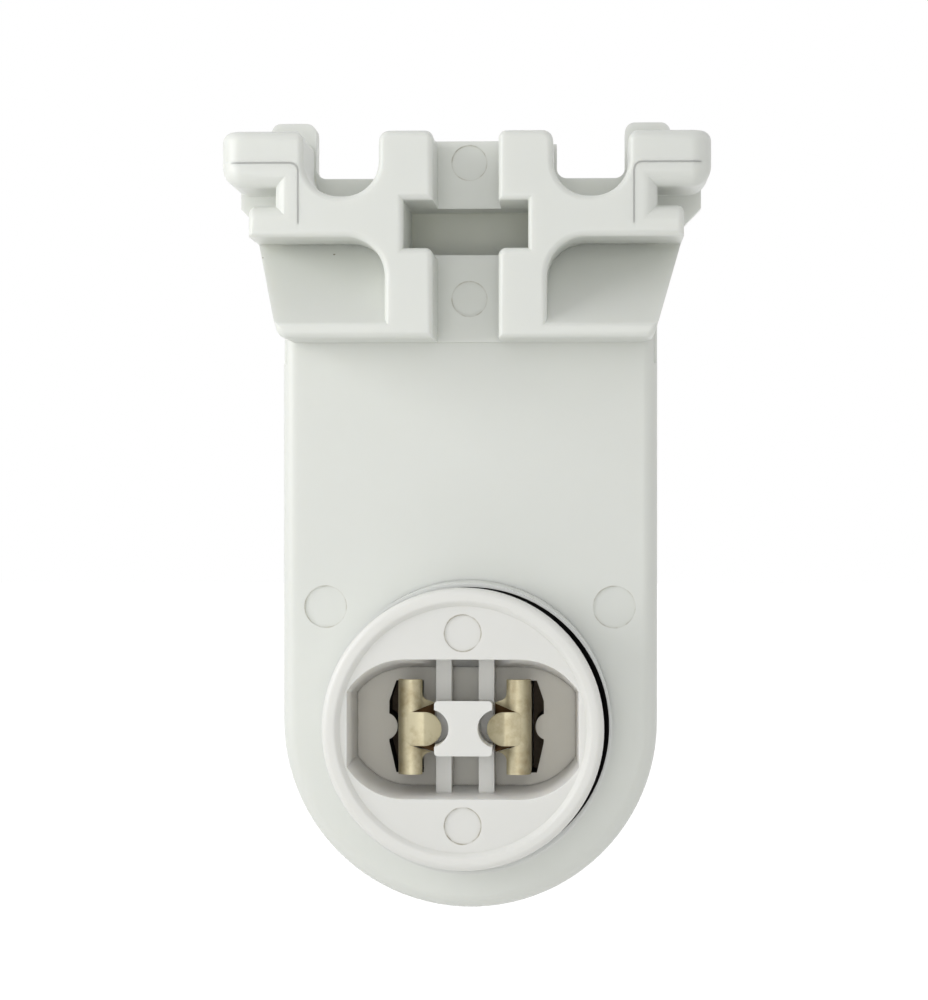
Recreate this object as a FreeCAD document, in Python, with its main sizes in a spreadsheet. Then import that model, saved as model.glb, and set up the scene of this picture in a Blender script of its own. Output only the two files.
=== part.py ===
import FreeCAD, Part
import os

import Sketcher

# Spring plunger lamp holder for fluorescent tubes with a recessed double contact base.
# Frame: origin on the lamp axis at the back face, front towards -Y, foot upwards (+Z).
# A "stand" is a distance in front of the back face, so it is measured along -Y.

SIZES = {
    # Shell
    "cheek": 3.62,
    "body_stand": 18.0,
    "body_top": 38.0,
    "cover_thickness": 2.2,
    "wall": 1.6,
    "top_wall": 2.0,
    "body_edge_radius": 1.2,
    # Foot, front block
    "foot_stand": 26.5,
    "foot_bottom": 29.9,
    "foot_bottom_inset": 0.5,
    "foot_top": 45.7,
    "foot_edge_radius": 0.5,
    "lug_reach": 2.1,
    "lug_bottom": 41.4,
    "lug_corner_radius": 1.6,
    "lug_width": 6.3,
    "shoulder_reach": 1.8,
    "shoulder_bottom": 37.6,
    "shoulder_top": 40.0,
    "slot_depth": 2.0,
    "slot_lead_radius": 1.2,
    "notch_inner_half": 6.65,
    "notch_bottom": 40.7,
    "notch_corner_radius": 2.7,
    "top_corner_radius": 0.8,
    "pillar_corner_radius": 0.6,
    "channel_half": 2.5,
    "channel_floor_rise": 0.6,
    "window_half": 4.75,
    "window_bottom": 36.75,
    "window_top": 40.4,
    "pocket_half": 6.2,
    "pocket_bottom": 30.9,
    "pocket_depth": 8.0,
    "pocket_corner_radius": 3.0,
    # Foot, rear flange and the groove for the fixture's sheet
    "groove_width": 2.0,
    "groove_back": 16.3,
    "groove_overcut": 0.1,
    "flange_thickness": 2.6,
    "flange_setback": 0.43,
    "flange_side_bottom": 40.6,
    "flange_neck_inset": 1.77,
    "flange_neck_bottom": 38.8,
    "flange_notch_inner": 6.85,
    "flange_notch_bottom": 43.0,
    "flange_corner_radius": 0.8,
    "tab_top": 47.4,
    "tab_inset": 2.42,
    "tab_width": 3.6,
    "corner_land": 0.1,
    # Round mould marks
    "mark_depth": 0.12,
    "body_mark_radius": 1.65,
    "body_mark_height": 9.05,
    "channel_mark_radius": 1.38,
    "channel_mark_low": 33.3,
    "channel_mark_high": 44.0,
    "face_mark_radius": 1.4,
    # Cover screws and their bosses
    "boss_radius": 2.1,
    "lower_boss_inset": 1.8,
    "upper_boss_inset": 2.3,
    "upper_boss_height": 33.4,
    "screw_radius": 1.0,
    "screw_length": 9.0,
    "screw_head_radius": 1.8,
    "screw_head_height": 1.1,
    "screw_slot_width": 0.5,
    "screw_slot_depth": 0.5,
    "screw_clearance": 0.15,
    # Cover
    "cover_edge_radius": 0.6,
    "cover_lip_height": 1.2,
    "cover_lip_width": 1.0,
    "cover_lip_clearance": 0.15,
    "spigot_radius": 1.7,
    "spigot_height": 1.2,
    "entry_half": 6.2,
    "entry_high": 32.4,
    "entry_radius": 1.2,
    "entry_funnel": 0.5,
    "release_width": 1.0,
    "release_height": 2.4,
    "release_offset": 3.0,
    # Plunger sleeve
    "plunger_stand": 10.5,
    "sleeve_radius": 11.1,
    "sleeve_clearance": 0.08,
    "sleeve_setback": 3.5,
    "sleeve_mouth_wall": 0.25,
    "sleeve_wall": 0.65,
    "ledge_width": 1.25,
    "ledge_stand": 14.3,
    "ledge_thickness": 1.7,
    "flange_ring_reach": 0.9,
    "flange_ring_thickness": 1.2,
    "flange_ring_gap": 0.3,
    "sleeve_edge_radius": 0.1,
    # Socket insert
    "insert_shift": 0.17,
    "rim_setback": 0.4,
    "rim_width": 1.35,
    "rim_slope": 0.35,
    "rim_height": 0.4,
    "rim_depth": 1.9,
    "rim_edge_radius": 0.5,
    "rim_inner_radius": 0.3,
    "barrel_clearance": 0.3,
    "block_stand": 20.0,
    "recess_end_radius": 5.3,
    "recess_centre_half": 4.34,
    "recess_half": 8.8,
    "rib_inner_half": 1.05,
    "rib_outer_half": 2.25,
    "rib_stand": 23.0,
    "post_half": 2.2,
    "post_half_height": 2.1,
    "post_stand": 27.3,
    "post_ledge_stand": 24.3,
    "post_notch_radius": 1.45,
    "post_notch_half": 2.55,
    "post_corner_radius": 0.3,
    "insert_screw_height": 7.3,
    "insert_screw_length": 9.0,
    "insert_screw_head_radius": 1.6,
    # Contact block and backing plate
    "plate_thickness": 1.2,
    "spring_pocket_floor": 1.6,
    "slot_outer_half": 6.05,
    "slot_corner_half": 5.5,
    "slot_inner_half": 3.35,
    "slot_top": 3.2,
    "slot_bottom": 4.0,
    "slot_flat_half": 1.6,
    "nub_radius": 0.9,
    "nub_centre_half": 6.3,
    # Contacts
    "strip_thickness": 0.4,
    "saddle_outer_half": 5.1,
    "saddle_inner_half": 3.1,
    "saddle_stand": 25.0,
    "saddle_half_height": 3.65,
    "tongue_half_height": 1.3,
    "tongue_start_half": 4.25,
    "tongue_tip_half": 1.8,
    "flare_half_height": 1.85,
    "flare_tip_half": 2.35,
    "flare_drop": 1.3,
    "leg_shoulder_stand": 21.0,
    "leg_top": 3.05,
    "leg_bottom": 3.65,
    "tail_half": 7.3,
    "curl_length": 2.5,
    # Plunger spring
    "spring_radius": 2.55,
    "spring_wire_radius": 0.35,
    "spring_pitch": 2.6,
    "spring_clearance": 0.25,
    # Terminals and flexible straps
    "terminal_width": 5.0,
    "terminal_thickness": 0.5,
    "terminal_bottom": 24.0,
    "terminal_leg_length": 9.0,
    "terminal_gap": 4.2,
    "barb_length": 4.6,
    "barb_angle": 24.0,
    "strap_width": 1.8,
    "strap_thickness": 0.3,
    "strap_overlap": 2.4,
    "strap_rest_stand": 12.1,
    "strap_rest_height": 5.4,
    "strap_bow_stand": 10.4,
    "strap_bow_height": 15.0,
    "strap_rise_stand": 12.0,
    "strap_rise_height": 19.8,
}

SIDES = {"left": -1, "right": 1}
NEAR = 0.02
HALF_TURN = 180
QUARTER_TURN = 90
SHEET_NAME = "Sizes"


class Dim:
    """A number together with the sheet expression that gives it."""

    def __init__(self, value, text):
        self.value = value
        self.text = text

    def __add__(self, other):
        other = dim(other)
        return Dim(self.value + other.value, f"({self.text} + {other.text})")

    def __sub__(self, other):
        other = dim(other)
        return Dim(self.value - other.value, f"({self.text} - {other.text})")

    def __mul__(self, other):
        other = dim(other)
        return Dim(self.value * other.value, f"({self.text} * {other.text})")

    def __truediv__(self, other):
        other = dim(other)
        return Dim(self.value / other.value, f"({self.text} / {other.text})")

    def __neg__(self):
        return Dim(-self.value, f"(0 - {self.text})")


def dim(value):
    """Return value as a Dim."""
    if isinstance(value, Dim):
        return value
    return Dim(float(value), f"({float(value)})")


def smaller(first, second):
    """The smaller of two sizes, such as a fillet and the room that its walls leave it."""
    return Dim(min(first.value, second.value), f"min({first.text}; {second.text})")


def size(alias):
    """A size of the sheet, by its alias."""
    return Dim(SIZES[alias], f"{SHEET_NAME}.{alias}")


doc = FreeCAD.newDocument("lamp_holder")
sheet = doc.addObject("Spreadsheet::Sheet", SHEET_NAME)
for row, (alias, number) in enumerate(SIZES.items(), start=1):
    sheet.set(f"A{row}", alias)
    sheet.set(f"B{row}", str(number))
    sheet.setAlias(f"B{row}", alias)
doc.recompute()

# Sizes that follow from the driving ones.
ZERO = dim(0)
hole_radius = size("sleeve_radius") + size("sleeve_clearance")
body_half = hole_radius + size("cheek")
cavity_half = body_half - size("wall")
cavity_stand = size("body_stand") - size("wall")
cavity_top = size("body_top") - size("top_wall")
groove_front = size("groove_back") + size("groove_width")
flange_back = size("groove_back") - size("flange_thickness")
channel_floor = size("body_stand") + size("channel_floor_rise")
turret_stand = size("body_stand") + size("plunger_stand")
face_stand = turret_stand - size("rim_height")
foot_bottom_half = body_half - size("foot_bottom_inset")
shoulder_half = body_half + size("shoulder_reach")
lug_half = shoulder_half + size("lug_reach")
slot_end = shoulder_half - size("slot_depth")
groove_end = slot_end - size("groove_overcut")
flange_half = lug_half - size("flange_setback")
flange_neck = flange_half - size("flange_neck_inset")
tab_outer = flange_half - size("tab_inset")
flange_notch_outer = tab_outer - size("tab_width")
lug_inner = lug_half - size("lug_width")
notch_width = lug_inner - size("notch_inner_half")
notch_corner = smaller(size("notch_corner_radius"), (notch_width - size("corner_land")) / 2)
lower_boss = cavity_half - size("lower_boss_inset")
upper_boss = cavity_half - size("upper_boss_inset")
bore_radius = size("sleeve_radius") - size("sleeve_wall")
ledge_radius = bore_radius - size("ledge_width")
flange_ring = size("sleeve_radius") + size("flange_ring_reach")
rim_radius = size("sleeve_radius") - size("rim_setback")
barrel_radius = bore_radius - size("barrel_clearance")
sleeve_lip = turret_stand - size("sleeve_setback")
rim_back = turret_stand - size("rim_depth")
plate_back = size("ledge_stand")
sleeve_rear = size("ledge_stand") - size("ledge_thickness")
plate_front = plate_back + size("plate_thickness")
spring_outer = size("spring_radius") + size("spring_wire_radius")
spring_bore = spring_outer + size("spring_clearance")
spring_seat = size("block_stand") - size("spring_pocket_floor")
cover_top = size("cover_thickness")
entry_low = size("entry_high") - size("terminal_gap") - size("terminal_thickness")


# Helpers for objects of the document.

def bind(thing, path, value):
    """Tie one property of an object to the sheet."""
    thing.setExpression(path, dim(value).text)


def origin_plane(body, role):
    """The body's own origin plane with this role."""
    return next(feature for feature in body.Origin.OriginFeatures if feature.Role == role)


def new_body(label):
    """An empty body that gives one sub-part."""
    body = doc.addObject("PartDesign::Body", label)
    body.Label = label
    return body


def new_sketch(body, name, role, offset):
    """A sketch parallel to an origin plane of the body."""
    sketch = body.newObject("Sketcher::SketchObject", name)
    sketch.AttachmentSupport = [(origin_plane(body, role), "")]
    sketch.MapMode = "FlatFace"
    bind(sketch, "AttachmentOffset.Base.z", offset)
    return sketch


def hold(sketch, name, kind, geometry, point, value):
    """Hold a point of the sketch at a distance from its origin, tied to the sheet."""
    index = sketch.addConstraint(Sketcher.Constraint(kind, -1, 1, geometry, point, value.value))
    sketch.renameConstraint(index, name)
    bind(sketch, f"Constraints.{name}", value)


def hold_radius(sketch, name, geometry, value):
    """Hold the radius of a circle or arc."""
    index = sketch.addConstraint(Sketcher.Constraint("Radius", geometry, value.value))
    sketch.renameConstraint(index, name)
    bind(sketch, f"Constraints.{name}", value)


def draw_polygon(sketch, points):
    """Draw a closed polygon whose corners are all tied to the sheet."""
    points = [(dim(across), dim(up)) for across, up in points]
    corners = [FreeCAD.Vector(across.value, up.value, 0) for across, up in points]
    first = sketch.GeometryCount
    count = len(corners)
    for index, corner in enumerate(corners):
        sketch.addGeometry(Part.LineSegment(corner, corners[(index + 1) % count]), False)
    for index, (across, up) in enumerate(points):
        line = first + index
        before = first + (index - 1) % count
        sketch.addConstraint(Sketcher.Constraint("Coincident", line, 1, before, 2))
        hold(sketch, f"across_{line}", "DistanceX", line, 1, across)
        hold(sketch, f"up_{line}", "DistanceY", line, 1, up)


def draw_circle(sketch, across, up, radius):
    """Draw a circle tied to the sheet."""
    across, up = dim(across), dim(up)
    centre = FreeCAD.Vector(across.value, up.value, 0)
    circle = sketch.addGeometry(Part.Circle(centre, FreeCAD.Vector(0, 0, 1), radius.value), False)
    hold(sketch, f"across_{circle}", "DistanceX", circle, 3, across)
    hold(sketch, f"up_{circle}", "DistanceY", circle, 3, up)
    hold_radius(sketch, f"radius_{circle}", circle, radius)


def front_polygon(body, name, stand, points):
    """A polygon seen from the front, on a plane at this stand."""
    sketch = new_sketch(body, name, "XZ_Plane", stand)
    draw_polygon(sketch, points)
    return sketch


def front_circles(body, name, stand, circles):
    """Circles seen from the front, on a plane at this stand."""
    sketch = new_sketch(body, name, "XZ_Plane", stand)
    for across, up, radius in circles:
        draw_circle(sketch, across, up, radius)
    return sketch


def pad(body, name, sketch, length):
    """Add material from the sketch towards the front."""
    feature = body.newObject("PartDesign::Pad", name)
    feature.Profile = sketch
    bind(feature, "Length", length)
    return feature


def pocket(body, name, sketch, length, forward=False):
    """Cut from the sketch towards the back, or forward, and make sure that it cuts."""
    doc.recompute()
    before = body.Shape.Volume
    feature = body.newObject("PartDesign::Pocket", name)
    feature.Profile = sketch
    feature.Reversed = forward
    bind(feature, "Length", length)
    doc.recompute()
    if not body.Shape.Volume < before:
        raise RuntimeError(f"{name} cuts nothing")
    return feature


def turn(body, name, points):
    """Turn a profile of (radius, stand) points round the lamp axis."""
    sketch = new_sketch(body, f"{name}_profile", "XY_Plane", ZERO)
    draw_polygon(sketch, [(radius, -dim(stand)) for radius, stand in points])
    feature = body.newObject("PartDesign::Revolution", name)
    feature.Profile = sketch
    feature.ReferenceAxis = (sketch, ["V_Axis"])
    feature.Angle = 360
    return feature


def both_sides(points):
    """The points of a right half outline, with their mirror images added in order."""
    points = [(dim(across), dim(up)) for across, up in points]
    return points + [(-across, up) for across, up in reversed(points)]


def mirrored(points, side):
    """The points on one side, side being -1 or 1."""
    return [(dim(across) * side, dim(up)) for across, up in points]


def round_edges(body, name, radius, chosen):
    """Round the edges of the body that the test picks."""
    doc.recompute()
    base = body.Tip
    names = [f"Edge{index}" for index, edge in enumerate(base.Shape.Edges, start=1) if chosen(edge)]
    if not names:
        raise RuntimeError(f"{name} finds no edge")
    feature = body.newObject("PartDesign::Fillet", name)
    feature.Base = (base, names)
    bind(feature, "Radius", radius)
    doc.recompute()
    if not feature.isValid():
        raise RuntimeError(f"{name} can't be rounded")
    return feature


def runs_back(edge):
    """Whether a straight edge runs along the lamp axis."""
    box = edge.BoundBox
    return box.XLength < NEAR and box.ZLength < NEAR and box.YLength > NEAR


def at_corner(*corners):
    """Test for edges along the lamp axis at |X| and Z of any of the corners."""
    places = [(across.value, up.value) for across, up in corners]

    def chosen(edge):
        if not runs_back(edge):
            return False
        box = edge.BoundBox
        return any(
            abs(abs(box.XMin) - across) < NEAR and abs(box.ZMin - up) < NEAR for across, up in places
        )

    return chosen


def in_plane(stand, low=None, high=None, inner=None, outer=None):
    """Test for edges in the plane of this stand, within limits of Z and |X|."""
    def chosen(edge):
        box = edge.BoundBox
        if abs(box.YMin + stand.value) > NEAR or abs(box.YMax + stand.value) > NEAR:
            return False
        if low is not None and box.ZMin < low.value - NEAR:
            return False
        if high is not None and box.ZMax > high.value + NEAR:
            return False
        if inner is not None and min(abs(box.XMin), abs(box.XMax)) < inner.value - NEAR:
            return False
        return outer is None or max(abs(box.XMin), abs(box.XMax)) < outer.value + NEAR

    return chosen


def ring(radius, stand):
    """Test for a full circle round the lamp axis."""
    def chosen(edge):
        box = edge.BoundBox
        flat = abs(box.YMin + stand.value) < NEAR and abs(box.YMax + stand.value) < NEAR
        return flat and abs(box.XMax - radius.value) < NEAR and abs(box.ZMax - radius.value) < NEAR

    return chosen


def draw_shell(sketch, half, top):
    """Draw the outline of the shell: straight sides over a half circle on the lamp axis."""
    width, height = half.value, top.value
    corners = [(-width, 0), (-width, height), (width, height), (width, 0)]
    vectors = [FreeCAD.Vector(across, up, 0) for across, up in corners]
    lines = [
        sketch.addGeometry(Part.LineSegment(start, end), False)
        for start, end in zip(vectors, vectors[1:])
    ]
    bottom = Part.Arc(vectors[0], FreeCAD.Vector(0, -width, 0), vectors[-1])
    arc = sketch.addGeometry(bottom, False)
    left, roof, right = lines
    for first, second in ((left, roof), (roof, right)):
        sketch.addConstraint(Sketcher.Constraint("Coincident", first, 2, second, 1))
    sketch.addConstraint(Sketcher.Constraint("Coincident", arc, 3, -1, 1))
    ends = (1, 2) if sketch.getPoint(arc, 1).x < 0 else (2, 1)
    sketch.addConstraint(Sketcher.Constraint("Tangent", arc, ends[0], left, 1))
    sketch.addConstraint(Sketcher.Constraint("Tangent", arc, ends[1], right, 2))
    sketch.addConstraint(Sketcher.Constraint("Vertical", left))
    sketch.addConstraint(Sketcher.Constraint("Horizontal", roof))
    hold_radius(sketch, "half", arc, half)
    hold(sketch, "top", "DistanceY", roof, 1, top)


# Front shell: body, foot with its flange, cavity and bosses in one moulding.

def make_front_housing():
    """Front shell with the foot that slides onto the fixture."""
    body = new_body("front_housing")
    outline = new_sketch(body, "shell_outline", "XZ_Plane", cover_top)
    draw_shell(outline, body_half, size("body_top"))
    pad(body, "shell", outline, size("body_stand") - cover_top)
    round_edges(body, "shell_edge", size("body_edge_radius"), in_plane(size("body_stand")))
    add_flange(body)
    add_foot(body)
    hollow_shell(body)
    mark_housing(body)
    return body


def add_flange(body):
    """Rear flange of the foot, with two tabs and two notches."""
    edge = both_sides([
        (body_half, size("foot_bottom")),
        (body_half, size("shoulder_bottom")),
        (flange_neck, size("flange_neck_bottom")),
        (flange_half, size("flange_side_bottom")),
        (flange_half, size("foot_top")),
        (tab_outer, size("foot_top")),
        (tab_outer, size("tab_top")),
        (flange_notch_outer, size("tab_top")),
        (flange_notch_outer, size("flange_notch_bottom")),
        (size("flange_notch_inner"), size("flange_notch_bottom")),
        (size("flange_notch_inner"), size("foot_top")),
    ])
    sketch = front_polygon(body, "flange_outline", flange_back, edge)
    pad(body, "flange", sketch, size("flange_thickness"))
    round_edges(body, "flange_corners", size("flange_corner_radius"), at_corner(
        (flange_notch_outer, size("flange_notch_bottom")),
        (size("flange_notch_inner"), size("flange_notch_bottom")),
        (tab_outer, size("tab_top")),
        (flange_notch_outer, size("tab_top")),
        (flange_half, size("foot_top")),
    ))


def add_foot(body):
    """Front block of the foot: lugs, shoulders, pillars, channel, window and pockets."""
    edge = both_sides([
        (foot_bottom_half, size("foot_bottom")),
        (shoulder_half, size("shoulder_bottom")),
        (shoulder_half, size("shoulder_top")),
        (slot_end, size("shoulder_top")),
        (slot_end, size("lug_bottom")),
        (lug_half, size("lug_bottom")),
        (lug_half, size("foot_top")),
        (lug_inner, size("foot_top")),
        (lug_inner, size("notch_bottom")),
        (size("notch_inner_half"), size("notch_bottom")),
        (size("notch_inner_half"), size("foot_top")),
    ])
    sketch = front_polygon(body, "foot_outline", size("groove_back"), edge)
    pad(body, "foot", sketch, size("foot_stand") - size("groove_back"))
    cut_grooves(body)
    round_edges(body, "slot_leads", size("slot_lead_radius"), in_plane(
        size("foot_stand"), low=size("shoulder_top"), high=size("lug_bottom"), inner=slot_end))
    round_edges(body, "notch_corners", notch_corner, at_corner(
        (lug_inner, size("notch_bottom")),
        (size("notch_inner_half"), size("notch_bottom")),
    ))
    round_edges(body, "lug_corners", size("lug_corner_radius"), at_corner(
        (lug_half, size("lug_bottom")),
    ))
    round_edges(body, "foot_corners", size("top_corner_radius"), at_corner(
        (lug_half, size("foot_top")),
        (size("notch_inner_half"), size("foot_top")),
        (lug_inner, size("foot_top")),
        (foot_bottom_half, size("foot_bottom")),
    ))
    cut_pockets(body)
    cut_channel(body)


def cut_grooves(body):
    """Grooves that take the edges of the fixture's sheet, open to both sides."""
    for name, side in SIDES.items():
        sketch = front_polygon(body, f"{name}_groove_outline", groove_front, mirrored([
            (groove_end, size("foot_bottom") - size("wall")),
            (lug_half + size("wall"), size("foot_bottom") - size("wall")),
            (lug_half + size("wall"), size("tab_top")),
            (groove_end, size("tab_top")),
        ], side))
        pocket(body, f"{name}_groove", sketch, size("groove_width"))


def cut_pockets(body):
    """Ramped pockets beside the lower pillars, each open to its side."""
    for name, side in SIDES.items():
        sketch = new_sketch(body, f"{name}_pocket_outline", "YZ_Plane", size("pocket_half") * side)
        draw_polygon(sketch, [
            (-size("foot_stand"), size("pocket_bottom")),
            (-size("foot_stand"), size("shoulder_bottom")),
            (size("pocket_depth") - size("foot_stand"), size("shoulder_bottom")),
        ])
        pocket(body, f"{name}_pocket", sketch, lug_half - size("pocket_half"), side > 0)
    round_edges(body, "pocket_corners", size("pocket_corner_radius"), at_corner(
        (size("pocket_half"), size("shoulder_bottom")),
    ))


def cut_channel(body):
    """Channel between the pillars and the window across it."""
    channel = front_polygon(body, "channel_outline", size("foot_stand"), both_sides([
        (size("channel_half"), size("foot_bottom") - size("wall")),
        (size("channel_half"), size("tab_top")),
    ]))
    pocket(body, "channel", channel, size("foot_stand") - channel_floor)
    window = front_polygon(body, "window_outline", size("foot_stand"), both_sides([
        (size("window_half"), size("window_bottom")),
        (size("window_half"), size("window_top")),
    ]))
    pocket(body, "window", window, size("foot_stand") - size("groove_back"))
    round_edges(body, "pillar_corners", size("pillar_corner_radius"), at_corner(
        (size("channel_half"), size("foot_top")),
        (size("channel_half"), size("window_bottom")),
    ))
    round_edges(body, "foot_edges", size("foot_edge_radius"), in_plane(size("foot_stand")))


def hollow_shell(body):
    """Cavity from the back, screw bosses and the plunger's hole."""
    sketch = new_sketch(body, "cavity_outline", "XZ_Plane", cover_top)
    draw_shell(sketch, cavity_half, cavity_top)
    pocket(body, "cavity", sketch, cavity_stand - cover_top, True)
    posts = front_circles(body, "boss_outline", cover_top, [
        (across, up, size("boss_radius")) for across, up in cover_screw_places()
    ])
    pad(body, "bosses", posts, size("body_stand") - size("wall") / 2 - cover_top)
    pilots = front_circles(body, "pilot_outline", cover_top, [
        (across, up, size("screw_radius")) for across, up in cover_screw_places()
    ])
    pocket(body, "pilots", pilots, size("screw_length"), True)
    hole = front_circles(body, "plunger_hole_outline", size("body_stand"), [(ZERO, ZERO, hole_radius)])
    pocket(body, "plunger_hole", hole, size("wall"))


def mark_housing(body):
    """Shallow round mould marks on the body and in the channel."""
    for name, stand, places, radius in (
        ("body_marks", size("body_stand"), [
            (lower_boss * side, size("body_mark_height")) for side in SIDES.values()
        ], size("body_mark_radius")),
        ("channel_marks", channel_floor, [
            (ZERO, size("channel_mark_low")),
            (ZERO, size("channel_mark_high")),
        ], size("channel_mark_radius")),
    ):
        sketch = front_circles(body, f"{name}_outline", stand, [
            (across, up, radius) for across, up in places
        ])
        pocket(body, name, sketch, size("mark_depth"))


def cover_screw_places():
    """Places of the four cover screws: two beside the plunger, two near the top."""
    places = []
    for side in SIDES.values():
        places.append((lower_boss * side, size("body_mark_height")))
        places.append((upper_boss * side, size("upper_boss_height")))
    return places


# Back cover, with the wire entries.

def make_back_cover():
    """Flat cover with a locating lip, wire entries and screw seats."""
    body = new_body("back_cover")
    outline = new_sketch(body, "cover_outline", "XZ_Plane", ZERO)
    draw_shell(outline, body_half, size("body_top"))
    pad(body, "plate", outline, cover_top)
    round_edges(body, "plate_edge", size("cover_edge_radius"), in_plane(ZERO))
    lip = new_sketch(body, "lip_outline", "XZ_Plane", cover_top)
    lip_half = cavity_half - size("cover_lip_clearance")
    lip_top = cavity_top - size("cover_lip_clearance")
    draw_shell(lip, lip_half, lip_top)
    pad(body, "lip", lip, size("cover_lip_height"))
    inside = new_sketch(body, "lip_inside", "XZ_Plane", cover_top + size("cover_lip_height"))
    draw_shell(inside, lip_half - size("cover_lip_width"), lip_top - size("cover_lip_width"))
    pocket(body, "lip_hollow", inside, size("cover_lip_height"))
    clear_bosses(body)
    cut_screw_seats(body)
    cut_wire_entries(body)
    spigot = front_circles(body, "spigot_outline", cover_top, [(ZERO, ZERO, size("spigot_radius"))])
    pad(body, "spigot", spigot, size("spigot_height"))
    return body


def clear_bosses(body):
    """Gaps in the lip where the bosses of the shell stand."""
    gap = size("boss_radius") + size("cover_lip_clearance")
    sketch = front_circles(body, "boss_gap_outline", cover_top + size("cover_lip_height"), [
        (across, up, gap) for across, up in cover_screw_places()
    ])
    pocket(body, "boss_gaps", sketch, size("cover_lip_height"))


def cut_screw_seats(body):
    """Holes and counterbores for the cover screws."""
    shank = size("screw_radius") + size("screw_clearance")
    holes = front_circles(body, "screw_hole_outline", ZERO, [
        (across, up, shank) for across, up in cover_screw_places()
    ])
    pocket(body, "screw_holes", holes, cover_top, True)
    head = size("screw_head_radius") + size("screw_clearance")
    seats = front_circles(body, "screw_seat_outline", ZERO, [
        (across, up, head) for across, up in cover_screw_places()
    ])
    pocket(body, "screw_seats", seats, size("screw_head_height"), True)


def cut_wire_entries(body):
    """Two round wire entries a side, each with a funnel, and a release slot between them."""
    places = [
        (size("entry_half") * side, height)
        for side in SIDES.values()
        for height in (entry_low, size("entry_high"))
    ]
    holes = front_circles(body, "entry_outline", ZERO, [
        (across, up, size("entry_radius")) for across, up in places
    ])
    pocket(body, "entries", holes, cover_top, True)
    doc.recompute()
    base = body.Tip
    names = []
    for index, edge in enumerate(base.Shape.Edges, start=1):
        box = edge.BoundBox
        round_hole = abs(box.XLength / 2 - SIZES["entry_radius"]) < NEAR
        if round_hole and abs(box.YMax) < NEAR and abs(box.YMin) < NEAR:
            names.append(f"Edge{index}")
    funnel = body.newObject("PartDesign::Chamfer", "entry_funnels")
    funnel.Base = (base, names)
    bind(funnel, "Size", size("entry_funnel"))
    middle = (entry_low + size("entry_high")) / 2
    for name, side in SIDES.items():
        near = size("entry_half") + size("release_offset") - size("release_width")
        far = near + size("release_width")
        sketch = front_polygon(body, f"{name}_release_outline", ZERO, mirrored([
            (near, middle - size("release_height") / 2),
            (far, middle - size("release_height") / 2),
            (far, middle + size("release_height") / 2),
            (near, middle + size("release_height") / 2),
        ], side))
        pocket(body, f"{name}_release", sketch, cover_top, True)


# Plunger: sleeve, insert, block, plate and contacts move together.

def shift_plunger_piece(body):
    """The insert and what is screwed to it sit a little up and left in the sleeve."""
    bind(body, "Placement.Base.x", -size("insert_shift"))
    bind(body, "Placement.Base.z", size("insert_shift"))


def make_plunger_sleeve():
    """Outer barrel of the plunger, kept in by its flange."""
    body = new_body("plunger_sleeve")
    flange_front = cavity_stand - size("flange_ring_gap")
    flange_rear = flange_front - size("flange_ring_thickness")
    turn(body, "barrel", [
        (ledge_radius, sleeve_rear),
        (size("sleeve_radius"), sleeve_rear),
        (size("sleeve_radius"), flange_rear),
        (flange_ring, flange_rear),
        (flange_ring, flange_front),
        (size("sleeve_radius"), flange_front),
        (size("sleeve_radius"), sleeve_lip),
        (size("sleeve_radius") - size("sleeve_mouth_wall"), sleeve_lip),
        (bore_radius, size("block_stand")),
        (bore_radius, size("ledge_stand")),
        (ledge_radius, size("ledge_stand")),
    ])
    round_edges(body, "lip_edge", size("sleeve_edge_radius"), ring(size("sleeve_radius"), sleeve_lip))
    return body


def draw_recess(sketch, centre, radius, half):
    """Draw the mouth of the recess: round ends cut off by two upright flats."""
    reach = (radius * radius - (half - centre) * (half - centre)).value ** 0.5
    middle, end, side = centre.value, radius.value, half.value
    bulge = end / 2 ** 0.5
    corners = {
        "top_left": FreeCAD.Vector(-middle, end, 0),
        "top_right": FreeCAD.Vector(middle, end, 0),
        "right_top": FreeCAD.Vector(side, reach, 0),
        "right_bottom": FreeCAD.Vector(side, -reach, 0),
        "bottom_right": FreeCAD.Vector(middle, -end, 0),
        "bottom_left": FreeCAD.Vector(-middle, -end, 0),
        "left_bottom": FreeCAD.Vector(-side, -reach, 0),
        "left_top": FreeCAD.Vector(-side, reach, 0),
    }
    names = list(corners)
    for index, name in enumerate(names):
        start, finish = corners[name], corners[names[(index + 1) % len(names)]]
        if index % 2 == 0:
            sketch.addGeometry(Part.LineSegment(start, finish), False)
            continue
        centre_x = middle if start.x + finish.x > 0 else -middle
        through = FreeCAD.Vector(
            centre_x + (bulge if centre_x > 0 else -bulge),
            bulge if start.y + finish.y > 0 else -bulge,
            0,
        )
        sketch.addGeometry(Part.Arc(start, through, finish), False)
    close_recess(sketch, corners, names, centre, radius, half)


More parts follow.
